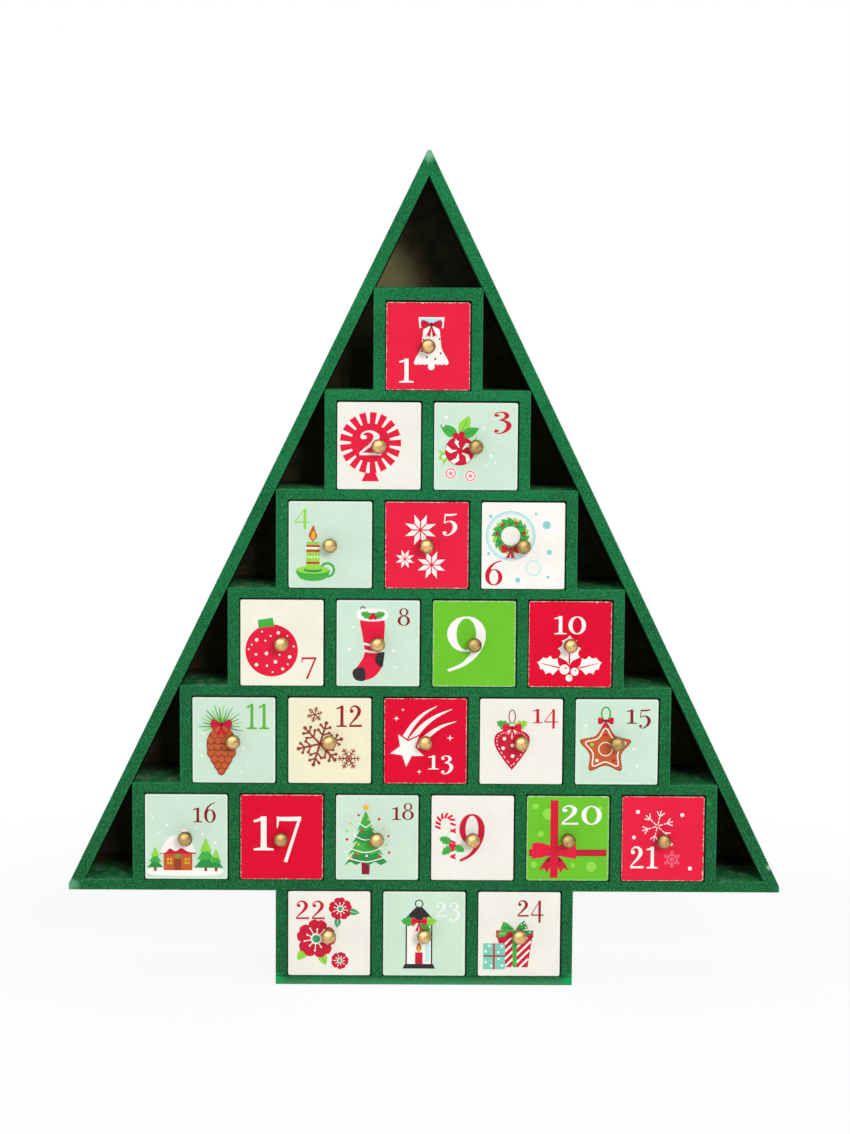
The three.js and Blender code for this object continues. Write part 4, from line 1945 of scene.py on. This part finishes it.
def print_15(p: Print) -> None:
    """An iced gingerbread star on a green loop, with a 15."""
    x, z = -5.6, -3.6
    p.ring(Ink.GREEN, x, 14.2, 2.2, 0.8, 3.4)
    star = star_rim(13.6, 8.4, 5)
    p.blob(Ink.BROWN, star, x, z, 90)
    p.blob(Ink.RUST, scaled(star, 0.955, 0.955), x, z + 0.2, 90)
    icing = [(*q, 0.62) for q in turned(scaled(star, 0.78, 0.78), x, z, 90)]
    p.brush(Ink.WHITE, icing, closed=True)
    for k, ink in enumerate((Ink.RED, Ink.LIME, Ink.WHITE, Ink.RED, Ink.LIME)):
        p.disc(ink, *turned([(7.2, 0)], x, z, 90 + 72 * k)[0], 0.85)
    p.ring(Ink.WHITE, x, z, 3.4, 0.5)
    p.bow(Ink.RED, x, 10.6, 8, 3.8, 4)
    p.dots(Ink.WHITE, (8.6, -3.4, 0.7), (10.4, -12.2, 0.6), (-15.6, 8.2, 0.7), (6.8, -16.4, 0.5))
    p.figures(Ink.WINE, "15", 4.8, 17, 9.3, 7.3)


def print_16(p: Print) -> None:
    """A small house between firs in the snow, with a 16."""
    ground = [(-19, -16.4), (-8, -15.4), (4, -16), (17.6, -16.6), (16, -19.4), (0, -20), (-17.6, -19.4)]
    p.blob(Ink.WHITE, ground)
    for x, size in ((-15.6, 0.8), (9.8, 1.15), (15, 0.72)):
        p.bar(Ink.BROWN, x - 0.7, -17.6, x + 0.7, -14.8)
        for k, ink in enumerate((Ink.MOSS, Ink.GREEN, Ink.LIME)):
            half, low = (5 - 1.15 * k) * size, -15.8 + 3.6 * k * size
            p.patch(ink, [(x - half, low), (x + half, low), (x, low + 6.2 * size)])
    p.bar(Ink.RUST, -11.4, -17.2, 3, -8.4)
    p.bar(Ink.BROWN, -2.2, -3.2, 0.4, 3)
    p.bar(Ink.WHITE, -2.6, 2.4, 0.8, 3.8)
    p.patch(Ink.RED, [(-13.4, -8.8), (5, -8.8), (-0.6, -0.8), (-7.8, -0.8)])
    snow = [
        (-13, -7.4), (-10.6, -8.2), (-8.2, -6), (-5.4, -7.4), (-2.4, -5.8), (0.8, -7.6), (4.6, -7.4),
        (-0.2, -0.1), (-8.2, -0.1),
    ]
    p.blob(Ink.WHITE, snow)
    p.bar(Ink.BROWN, -6, -17.2, -2.6, -11.2)
    for x in (-9.6, -0.8):
        p.bar(Ink.GOLD, x, -14, x + 2.4, -11)
        p.line(Ink.BLACK, x + 1.2, -14, x + 1.2, -11, 0.35)
        p.line(Ink.BLACK, x, -12.5, x + 2.4, -12.5, 0.35)
    p.ring(Ink.GREEN, -4.3, -10, 0.9, 0.6)
    p.dots(
        Ink.WHITE, (-14, 1.6, 0.6), (-9.6, 6, 0.7), (8.2, 1.4, 0.6), (14.6, -3, 0.7), (4.6, 4.6, 0.5),
        (-16.6, 9.6, 0.6),
    )
    p.figures(Ink.WINE, "16", 3.4, 14.9, 7.3, 7.6)


def print_17(p: Print) -> None:
    """A large 17."""
    p.figures(Ink.WHITE, "17", -14.2, 9.8, -6.9, 17.6)


def print_18(p: Print) -> None:
    """A dressed fir in a pot, with an 18."""
    x = -5.7
    p.patch(Ink.WINE, [(x - 1.9, -18.9), (x + 1.9, -18.9), (x + 2.1, -12.5), (x - 2.1, -12.5)])
    layers = ((-13.4, -1.6, 10.8), (-8.4, 3.6, 8.9), (-2.4, 8.6, 6.7), (3.8, 13.8, 4.4))
    for k, (low, high, half) in enumerate(layers):
        waves = 7 - k
        hem = [(x - half + 2 * half * j / waves, low + (0.9 if j % 2 else -0.7)) for j in range(waves + 1)]
        peak = [(x + half * 0.34, high - 3.6), (x, high), (x - half * 0.34, high - 3.6)]
        p.patch(Ink.GREEN if k % 2 else Ink.MOSS, [*hem, *peak])
    for z, half in ((6.2, 3.2), (-0.4, 5.6), (-6.8, 7.8), (-11.6, 9.4)):
        p.brush(Ink.WHITE, [(x - half, z + 1.2, 0.5), (x, z - 0.9, 0.55), (x + half, z + 1.4, 0.5)])
    p.dots(
        Ink.BRIGHT, (-9.3, 11.4, 0.6), (1, 9.4, 0.7), (-15.1, -1, 0.7), (5.7, 0.7, 0.6), (6.1, -7.6, 0.7),
        (-7.6, 3.2, 0.6), (-3.4, -3.4, 0.7), (-10.2, -8.8, 0.7), (1.2, -9.6, 0.6),
    )
    p.dots(
        Ink.GOLD, (-13.4, 7.2, 0.6), (-4.4, 9.2, 0.5), (-9.4, -3.6, 0.6), (-1.6, 1.4, 0.6),
        (-13, -10.2, 0.6), (3.4, 4.6, 0.5),
    )
    p.dots(Ink.WHITE, (-5.2, -9.4, 0.6), (-11.4, 1.6, 0.5), (-2.6, 5.4, 0.4), (-15.8, -7.4, 0.5))
    p.dots(Ink.LIME, (-15.2, 3.3, 0.6), (4.6, -3.6, 0.5))
    p.star(Ink.GOLD, x, 15.3, 2.1, 0.9, 5)
    p.figures(Ink.WINE, "18", 7.4, 18.4, 9, 6.6)


def print_19(p: Print) -> None:
    """A candy cane with holly in the place of a 1, and a 9."""
    cane = [
        (-9.8, -11.8), (-9.8, 0), (-9.8, 6.8), (-10.8, 10.2), (-13.8, 11.4), (-16.8, 9.8), (-17.4, 6.2),
        (-17.2, 3.6),
    ]
    path = smooth([(x, z, 2.9) for x, z in cane])
    p.strip(Ink.MIST, path)
    p.strip(Ink.WHITE, [(x, z, 2.3) for x, z, _ in path])
    for k in range(1, len(path) - 2, 3):
        (x0, z0, _), (x1, z1, _) = path[k], path[k + 1]
        way = degrees(atan2(z1 - z0, x1 - x0))
        p.patch(Ink.BRIGHT, [(-1.05, -1.35), (0.25, -1.35), (1.45, 1.35), (0.15, 1.35)], x0, z0, way)
    for z in (-9.4, -6.6, -3.8, 3.6):
        p.patch(Ink.BRIGHT, [(-1.35, -0.95), (1.35, 0.25), (1.35, 1.45), (-1.35, 0.25)], -9.8, z)
    p.holly(Ink.GREEN, -10.6, -2.4, 6.6, 4.6, 158)
    p.holly(Ink.GREEN, -10.6, -4.4, 6.4, 4.4, 222)
    p.holly(Ink.GREEN, -9.4, -4, 6.2, 4.4, 332)
    p.dots(Ink.BRIGHT, (-10.9, -3.6, 1.1), (-9.2, -4, 1), (-10.1, -5.2, 0.9))
    p.figures(Ink.RED, "9", -6.6, 6.1, -3.9, 16.6)


def print_20(p: Print) -> None:
    """A parcel's red ribbon and bow on a dotted wrapping, with a 20."""
    x = -6.8
    p.dots(
        Ink.FRESH, (-16.4, 16.4, 1.6), (-9.9, 12.4, 2.9), (-13.5, 2.3, 1.6), (-16.9, -13.4, 1.7),
        (2.7, -13.7, 1.2), (12, -14.5, 2.6), (16.2, 15.7, 1),
    )
    p.bar(Ink.WINE, -19.5, -9, 19.6, -5.7)
    p.bar(Ink.RED, -19.5, -8.6, 19.6, -6.1)
    for side in (-1, 1):
        end = [(0, -1.6), (2.6, -2.4), (5.4, -5.4), (7.6, -9.4), (4.9, -8.2), (3.3, -10.7), (1.8, -7)]
        p.patch(Ink.RED, scaled(end, side, 1), x, -7.1)
        shade = [(0, -1.6), (2.6, -2.4), (4.6, -4.4), (1.6, -5.4)]
        p.patch(Ink.WINE, scaled(shade, side, 1), x, -7.1)
    p.bar(Ink.CHERRY, -8.8, -20.2, -4.8, 19.5)
    for side in (-1, 1):
        loop = [(0.4, 0.8), (1.9, 3.2), (5, 4.5), (9, 5), (11, 4.4), (11.2, -3.4), (5.6, -2.6), (0.4, -0.9)]
        p.patch(Ink.BRIGHT, scaled(loop, side, 1), x, -7.1)
        upper = [(1.4, 1, 0.2), (4.4, 1.7, 0.7), (7.4, 1.9, 0.1)]
        lower = [(1.4, -0.8, 0.2), (4, -1, 0.6), (6.4, -1.3, 0.1)]
        for crease in (upper, lower):
            p.brush(Ink.RED, [(x + side * a, b - 7.1, w) for a, b, w in crease])
    p.blob(Ink.RED, [(-1.9, 1.9), (1.9, 1.9), (2.1, 0), (1.9, -1.9), (-1.9, -1.9), (-2.1, 0)], x, -7.1)
    p.figures(Ink.WHITE, "20", -3.2, 17, 7, 10)


def print_21(p: Print) -> None:
    """Snowflakes and falling snow with a 21."""
    x, z, arm = -2.8, 6.5, 8.1
    for k in range(6):
        way = 17 + 60 * k
        for start, end in ((0.08, 0.34), (0.42, 0.6), (0.64, 1)):
            a, b = turned([(start * arm, 0), (end * arm, 0)], x, z, way)
            p.line(Ink.WHITE, *a, *b, 0.5)
        for side in (-1, 1):
            a, b = turned([(0.64 * arm, side * 0.03 * arm), (0.9 * arm, side * 0.24 * arm)], x, z, way)
            p.line(Ink.WHITE, *a, *b, 0.5)
    p.flake(Ink.ROSE, 4.7, -10.5, 4.5, 30, 0.45)
    p.ring(Ink.ROSE, 4.7, -10.5, 2.3, 0.4)
    p.dots(
        Ink.WHITE, (-12.8, 13.8, 1), (9.6, 12.2, 1), (-14.6, 0.7, 0.95), (4.2, -2.7, 0.8), (13.9, -15.1, 1),
    )
    p.figures(Ink.WHITE, "21", -16.3, -2.3, -15.2, 11.3)


def flower(p: Print, x: float, z: float, radius: float, turn: float) -> None:
    """Lays a five-petalled flower with pale stamens.

    Args:
        p: the print.
        x: the flower's middle.
        z: the flower's middle.
        radius: its radius.
        turn: the direction of its first petal, in degrees.
    """
    for k in range(5):
        half = [(0.1, 0), (0.42, 0.4), (0.8, 0.46), (1, 0.2)]
        petal = [*half, (0.95, 0), (1, -0.2), (0.8, -0.46), (0.42, -0.4)]
        p.blob(Ink.RED, scaled(petal, radius, radius), x, z, turn + 72 * k, 4)
    for k in range(10):
        way = turn + 36 * k
        foot, tip = turned([(0.28 * radius, 0), ((0.62 if k % 2 else 0.5) * radius, 0)], x, z, way)
        p.line(Ink.WHITE, *foot, *tip, radius * 0.035 + 0.12)
        p.disc(Ink.WHITE, *tip, radius * 0.035 + 0.14)
    p.disc(Ink.MIST, x, z, radius * 0.29)
    p.disc(Ink.SEA, x, z, radius * 0.2)


def print_22(p: Print) -> None:
    """Red flowers with a 22."""
    p.leaf(Ink.LIME, -11.4, -8, 7.6, 4.8, 232, Ink.GREEN)
    p.leaf(Ink.LIME, -4.4, -9.6, 7.4, 4.6, 292, Ink.GREEN)
    p.leaf(Ink.SEA, 9, 11.6, 6.6, 3.4, 350, Ink.MIST)
    p.leaf(Ink.SEA, 4.6, 8.4, 5.6, 3.4, 262, Ink.MIST)
    flower(p, -6.5, -2.8, 9.8, 84)
    flower(p, 5.6, 12.7, 5.8, 95)
    flower(p, 5.4, -14, 4.4, 70)
    p.figures(Ink.RED, "22", -16.7, -2.2, 7.2, 9.6)


def print_23(p: Print) -> None:
    """A white lantern with a black cap, holly and a red bow, with a 23."""
    x = -2.6
    p.ring(Ink.BLACK, x, 15.4, 1.9, 0.55)
    p.patch(Ink.BLACK, [(-7.6, 7), (7.6, 7), (3.4, 11.8), (1.6, 13.6), (-1.6, 13.6), (-3.4, 11.8)], x)
    p.bar(Ink.WHITE, x - 6.4, -15.6, x + 6.4, 7)
    p.patch(Ink.AQUA, [(x + 3, -14.4), (x + 5.4, -14.4), (x + 5.4, 1.4), (x + 3, -2.6)])
    p.bar(Ink.RED, x - 1.9, -15.6, x + 1.9, -9.6)
    p.blob(Ink.RUST, [(x, -9.4), (x + 1.3, -7.6), (x, -4.4), (x - 1.3, -7.6)])
    p.blob(Ink.GOLD, [(x, -9.1), (x + 0.7, -7.9), (x, -6.2), (x - 0.7, -7.9)])
    for across in (-6.4, 6.4):
        p.line(Ink.BLACK, x + across, -15.6, x + across, 7, 0.7)
    p.patch(Ink.BLACK, [(x - 8.2, -18), (x + 8.2, -18), (x + 7.2, -15.6), (x - 7.2, -15.6)])
    p.holly(Ink.GREEN, x - 0.4, 6, 9, 5.4, 176)
    p.holly(Ink.LIME, x + 0.4, 6, 9, 5.4, 4, Ink.GREEN)
    p.holly(Ink.GREEN, x + 0.2, 5.4, 7.4, 4.8, 322)
    p.bow(Ink.BRIGHT, x, 6.2, 8, 4, 5.6)
    p.figures(Ink.MIST, "23", 5.8, 18.1, 8.7, 7.5)


def print_24(p: Print) -> None:
    """Two parcels with a 24."""
    low, high, left, right, flare = -17.1, -0.9, -7.1, 4.5, (4.2, 2.3)
    p.patch(Ink.RED, [(left - flare[0], high), (right + flare[1], high), (right, low), (left, low)])
    for k in range(6):
        foot = left - 11.9 + 3.85 * k
        start = max(0, (left - foot + 0.4) / (high - low + flare[0]))
        stop = min(1, (right - foot - 0.4) / (high - low - flare[1]))
        ends = [(foot + t * (high - low), low + t * (high - low)) for t in (start, stop)]
        p.line(Ink.WHITE, *ends[0], *ends[1], 1)
    p.bar(Ink.RED, -11.6, -1.6, 7.2, 1.9)
    p.line(Ink.WINE, -11.6, -1.5, 7.2, -1.5, 0.4)
    p.patch(Ink.GREEN, [(-3.1, -17.1), (-1.2, -17.1), (-0.9, 1.9), (-3.4, 1.9)])
    p.bar(Ink.JADE, -18, -18.2, -7, -4.8)
    places = (
        (-15, -6.1), (-8.6, -6.3), (-16.8, -8.9), (-10.4, -9.4), (-10.3, -12.8), (-16.8, -14.5),
        (-8.5, -16.2), (-14, -16.4),
    )
    p.dots(Ink.WHITE, *((x, z, 0.62) for x, z in places))
    p.line(Ink.WINE, -18, -11.3, -7, -11.3, 0.7)
    p.line(Ink.RED, -12.6, -18.2, -12.6, -4.8, 0.9)
    p.patch(Ink.GREEN, [(-11, 0.6), (-7.6, 2), (-5, 1.8), (-7.2, -1.2), (-10.4, -1.6)])
    p.patch(Ink.MOSS, [(1.4, 1.4), (4, 2), (7.4, 1.6), (6.6, 0.2), (4.2, -0.6)])
    p.patch(Ink.GREEN, [(-9.5, 2.4), (-8, 6.4), (-5.6, 5.5), (-2.8, 2.9), (-3, 1.4), (-7.2, 1.6)])
    p.brush(Ink.MOSS, [(-8, 3, 0.2), (-5.6, 3.4, 0.8), (-3.2, 2.2, 0.3)])
    p.patch(Ink.MOSS, [(-1.8, 2.4), (0.2, 5.2), (2.7, 7), (4.6, 3), (1.6, 2)])
    p.brush(Ink.GREEN, [(-0.8, 2.6, 0.2), (1.2, 3.6, 0.8), (3.4, 4, 0.2)])
    p.dots(
        Ink.MIST, (1.2, 4.9, 0.4), (2.7, 5.6, 0.45), (3.4, 3.4, 0.4), (-9.2, 0.3, 0.4), (-7.6, 0.4, 0.35),
        (5.4, 1, 0.4),
    )
    p.figures(Ink.BRICK, "24", -0.8, 12.3, 9, 8.5)


# The drawers


@dataclass(frozen=True)
class Look:
    """What a drawer shows: its ground, its print, and whether its knob has gone dull."""

    ground: Ground
    draw: Callable[[Print], None]
    dull: bool = False


LOOKS: tuple[Look, ...] = (
    Look(Ground.RED, print_01),
    Look(Ground.CREAM, print_02),
    Look(Ground.MINT, print_03, True),
    Look(Ground.MINT, print_04),
    Look(Ground.RED, print_05),
    Look(Ground.WHITE, print_06, True),
    Look(Ground.IVORY, print_07),
    Look(Ground.MINT, print_08),
    Look(Ground.LEAF, print_09, True),
    Look(Ground.DEEP_RED, print_10),
    Look(Ground.MINT, print_11),
    Look(Ground.YELLOW, print_12),
    Look(Ground.DEEP_RED, print_13),
    Look(Ground.CREAM, print_14),
    Look(Ground.MINT, print_15, True),
    Look(Ground.MINT, print_16, True),
    Look(Ground.DEEP_RED, print_17, True),
    Look(Ground.MINT, print_18),
    Look(Ground.CREAM, print_19),
    Look(Ground.LEAF, print_20, True),
    Look(Ground.RED, print_21, True),
    Look(Ground.CREAM, print_22),
    Look(Ground.MINT, print_23),
    Look(Ground.CREAM, print_24),
)

BRIGHT_BRASS = Brass("brass", (230, 194, 134), (196, 156, 96), 0.26)
DULL_BRASS = Brass("brass_dull", (200, 166, 108), (160, 128, 76), 0.33)


@dataclass
class Drawers:
    """The 24 drawers: fronts, trays, knobs and prints, each modelled once and copied, but for the prints."""

    width: float = 41.4
    height: float = 43.2
    depth: float = 59.7
    front: float = 5.0
    recess: float = 0.5
    corner: float = 0.9
    arris: float = 0.35
    wall: float = 3.0
    bottom: float = 3.0
    tray_drop: float = 3.0
    ball: float = 3.65
    collar: float = 2.6
    collar_length: float = 0.8
    neck: float = 1.7
    neck_length: float = 1.8
    nail: float = 1.0
    nail_short: float = 0.5
    nail_play: float = 0.3
    drill_over: float = 1.0
    foot_edge: float = 0.15
    rim_edge: float = 0.2
    neck_fillet: float = 0.25
    board_arris: float = 0.25
    hole_sides: int = 16
    knob_sides: int = 28
    ball_rings: int = 15

    def front_board(self) -> bpy.types.Object:
        """Models a front with the hole for its nail.

        Returns:
            The front, its face a little behind y = 0 and its foot at z = 0.
        """
        half, finishes = self.width / 2, (Ground.CREAM.value[0],)
        piece = Workpiece.block("front", (-half, self.recess, 0), (half, self.front, self.height), finishes)
        piece.soften(self.corner, segments=4, only=lambda _, run: abs(run.y) > ALONG)
        piece.soften(self.arris, segments=3)
        board = piece.done()
        radius = self.nail + self.nail_play
        drill = Workpiece.disc("drill", radius, -self.drill_over, self.hole_sides, finishes)
        drill.fit((1 / MM,) * 3, (0, 0, self.height / 2))
        drill.thicken(self.front + 2 * self.drill_over)
        bit = drill.done()
        board.select_set(True)
        bpy.context.view_layer.objects.active = board
        bore = board.modifiers.new("bore", "BOOLEAN")
        bore.object, bore.operation, bore.solver = bit, "DIFFERENCE", "EXACT"
        bpy.ops.object.modifier_apply(modifier=bore.name)
        drop(bit)
        self.unfold(board)
        return board

    def unfold(self, board: bpy.types.Object) -> None:
        """Writes the map "face": millimetres from the middle of the front, unfolded over its arrises.

        Args:
            board: the front.
        """
        mesh = board.data
        face_map = mesh.uv_layers.new(name="face")
        for polygon in mesh.polygons:
            across, ahead, up = (abs(v) for v in polygon.normal)
            for loop in polygon.loop_indices:
                x, y, z = mesh.vertices[mesh.loops[loop].vertex_index].co / MM
                z -= self.height / 2
                back = y - self.recess
                if max(across, up) > ahead and across >= up:
                    x += back if x > 0 else -back
                elif max(across, up) > ahead:
                    z += back if z > 0 else -back
                face_map.data[loop].uv = (x, z)

    def tray_boards(self) -> bpy.types.Object:
        """Models a tray of two sides, a back and a bottom.

        Returns:
            The tray, behind a front whose face is at y = 0.
        """
        half, inner = self.width / 2, self.width / 2 - self.wall
        top, end = self.height - self.tray_drop, self.depth
        boards = (
            ((-half, self.front, 0), (-inner, end, top)),
            ((inner, self.front, 0), (half, end, top)),
            ((-inner, end - self.wall, 0), (inner, end, top)),
            ((-inner, self.front, 0), (inner, end - self.wall, self.bottom)),
        )
        made = []
        for k, (low, high) in enumerate(boards):
            piece = Workpiece.block(f"tray_board_{k}", low, high, (BareBoard(),))
            piece.soften(self.board_arris)
            made.append(piece.done())
        for board in made:
            board.select_set(True)
        bpy.context.view_layer.objects.active = made[0]
        bpy.ops.object.join()
        clear_bench()
        return made[0]

    def knob(self) -> bpy.types.Object:
        """Turns a ball knob, ring by ring from its nail's end.

        Returns:
            The knob, with its collar on the front's face.
        """
        ball_back = self.collar_length + self.neck_length
        foot, shoulder = -self.recess, self.collar_length - self.recess
        centre = ball_back + (self.ball**2 - self.neck**2) ** 0.5
        start = atan2(self.neck, centre - ball_back)
        rings: list[Point] = [
            (self.nail, foot),
            (self.collar - self.foot_edge, foot),
            (self.collar, foot + self.foot_edge),
            (self.collar, shoulder - self.rim_edge),
            (self.collar - self.rim_edge, shoulder),
            (self.neck + self.neck_fillet, shoulder),
            (self.neck, shoulder + self.neck_fillet),
            (self.neck, ball_back - self.foot_edge),
        ]
        for k in range(1, self.ball_rings):
            turn = start + (pi - start) * k / self.ball_rings
            rings.append((self.ball * sin(turn), centre - self.ball * cos(turn)))
        depth = self.front - self.nail_short
        piece = Workpiece.disc("knob", self.nail, depth, self.knob_sides, (BRIGHT_BRASS,))
        radius, out = self.nail, -depth
        for new_radius, new_out in rings:
            bpy.ops.mesh.extrude_region_move(TRANSFORM_OT_translate={"value": (0, -(new_out - out) * MM, 0)})
            bpy.ops.transform.resize(value=(new_radius / radius, 1, new_radius / radius))
            radius, out = new_radius, new_out
        last = centre + self.ball - out
        bpy.ops.mesh.extrude_region_move(TRANSFORM_OT_translate={"value": (0, -last * MM, 0)})
        bpy.ops.mesh.merge(type="CENTER")
        knob = piece.done()
        knob.select_set(True)
        bpy.ops.object.shade_smooth_by_angle(angle=SMOOTH)
        clear_bench()
        return knob

    def build(self) -> None:
        """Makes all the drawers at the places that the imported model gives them."""
        front, tray, knob = self.front_board(), self.tray_boards(), self.knob()
        for number, look in enumerate(LOOKS, 1):
            label = f"{number:02d}"
            body = f"drawer_{label}"
            low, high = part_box(body)
            foot = Vector(((low.x + high.x) / 2, low.y, low.z)) / MM
            middle = foot + Vector((0, 0, self.height / 2))
            finish, slot = look.ground.value
            board = copy_of(front, f"front_{label}", foot)
            board.data.materials[0] = material_of(finish)
            seat(board, body, body)
            seat(copy_of(tray, f"tray_{label}", foot), body, body)
            ball = copy_of(knob, f"ball_knob_{label}", middle)
            ball.data.materials[0] = material_of(DULL_BRASS if look.dull else BRIGHT_BRASS)
            seat(ball, body, f"knob_{label}")
            picture = Print()
            look.draw(picture)
            face = middle + Vector((0, self.recess, 0))
            seat(picture.build(f"print_{label}", face), body, body)
        for master in (front, tray, knob):
            drop(master)


# The studio


@dataclass
class Studio:
    """The camera of the photograph, a soft lamp, a pale floor and a white room.

    The lamp's size and places, the camera's range and the floor's radius are in metres.
    """

    lens: float = 78.857
    sensor: float = 36.0
    near: float = 0.05
    far: float = 60.0
    eye: tuple[float, float, float] = (-12.86, -1259.9, 337.57)
    pitch: float = 5.800
    yaw: float = 0.561
    roll: float = 0.388
    fill: float = 0.62
    card: float = 0.2
    window: tuple[float, float, float] = (-0.25, -0.45, 0.86)
    bright: float = 2.1
    dim: float = 0.50
    key_watts: float = 24.5
    key_size: float = 0.62
    key_place: tuple[float, float, float] = (0.72, -2.25, 1.0)
    key_target: tuple[float, float, float] = (0, -0.03, 0.18)
    card_place: tuple[float, float, float] = (0, -200, 0)
    floor_radius: float = 9.0

    def camera(self) -> None:
        """Sets up the camera."""
        yaw, pitch, roll = radians(self.yaw), radians(self.pitch), radians(self.roll)
        ahead = Vector((sin(yaw) * cos(pitch), cos(yaw) * cos(pitch), -sin(pitch)))
        right = Vector((cos(yaw), -sin(yaw), 0))
        up = right.cross(ahead)
        right, up = right * cos(roll) + up * sin(roll), up * cos(roll) - right * sin(roll)
        data = bpy.data.cameras.new("camera")
        data.lens, data.sensor_width, data.sensor_fit = self.lens, self.sensor, "AUTO"
        data.clip_start, data.clip_end = self.near, self.far
        camera = bpy.data.objects.new("camera", data)
        camera.matrix_world = Matrix(
            [[right[k], up[k], -ahead[k], self.eye[k] * MM] for k in range(3)] + [[0, 0, 0, 1]]
        )
        bpy.context.collection.objects.link(camera)
        bpy.context.scene.camera = camera

    def lamp(self) -> None:
        """Hangs a square lamp that polished metal doesn't show."""
        data = bpy.data.lights.new("key", "AREA")
        data.energy, data.shape, data.size = self.key_watts, "SQUARE", self.key_size
        lamp = bpy.data.objects.new("key", data)
        lamp.visible_glossy = False
        way = Vector(self.key_target) - Vector(self.key_place)
        turn = way.to_track_quat("-Z", "Y").to_matrix().to_4x4()
        lamp.matrix_world = Matrix.Translation(self.key_place) @ turn
        bpy.context.collection.objects.link(lamp)

    def room(self) -> None:
        """Makes the world: even fill, white behind the object, and a dim room with a window for metal."""
        world = bpy.data.worlds.new("room")
        bpy.context.scene.world = world
        world.use_nodes = True
        tree = Tree(world.node_tree)
        rays = tree.add("LightPath").outputs
        way = tree.add("TexCoord").outputs["Generated"]
        towards = tree.add("VectorMath", way, Vector(self.window).normalized(), operation="DOT_PRODUCT")
        window = tree.ramp(towards.outputs["Value"], 0.25, 0.95, self.dim, self.bright)
        shine = tree.blend(rays["Is Glossy Ray"], self.fill, window)
        seen = tree.maths("MAXIMUM", rays["Is Camera Ray"], rays["Is Transmission Ray"])
        background = tree.add("Background", (1, 1, 1, 1), tree.blend(seen, shine, 1.0))
        tree.add("OutputWorld", background.outputs[0])

    def floor(self) -> None:
        """Lays a pale floor that shows white, keeps a soft shadow, and glows in front like a bounce card."""
        clear_bench()
        bpy.ops.mesh.primitive_circle_add(vertices=64, radius=self.floor_radius, fill_type="NGON")
        floor = bpy.context.object
        floor.name = "floor"
        graph = Graph("floor")
        rays = graph.add("LightPath").outputs
        seen = graph.maths("MAXIMUM", rays["Is Camera Ray"], rays["Is Glossy Ray"])
        seen = graph.maths("MAXIMUM", seen, rays["Is Transmission Ray"])
        away = graph.ramp(graph.distance((0, 0, 0)), 0.17, 0.50, 0.88, 1.0)
        dust = graph.ramp(graph.noise(60.0), *MIDDLING)
        matt = graph.add("BsdfDiffuse", graph.mix(dust, (240, 240, 238), (244, 244, 242)))
        glow = graph.ramp(graph.distance(self.card_place), 0.18, 0.45, self.card, 0.0)
        lit = graph.add("AddShader", matt.outputs[0], graph.add("Emission", None, glow).outputs[0])
        white = graph.add("Emission").outputs[0]
        cover = graph.add("MixShader", graph.maths("MULTIPLY", seen, away), lit.outputs[0], white)
        graph.links.new(cover.outputs[0], graph.output.inputs[0])
        graph.nodes.remove(graph.shader)
        floor.data.materials.append(graph.material)
        clear_bench()

    def build(self) -> None:
        """Sets up everything round the object."""
        bpy.context.scene.view_settings.view_transform = "Standard"
        self.camera()
        self.room()
        self.lamp()
        self.floor()


def main() -> None:
    logging.basicConfig(level=logging.INFO, format="%(message)s")
    Studio().build()
    Carcass().build()
    Drawers().build()
    clear_bench()


if __name__ == "__main__":
    main()
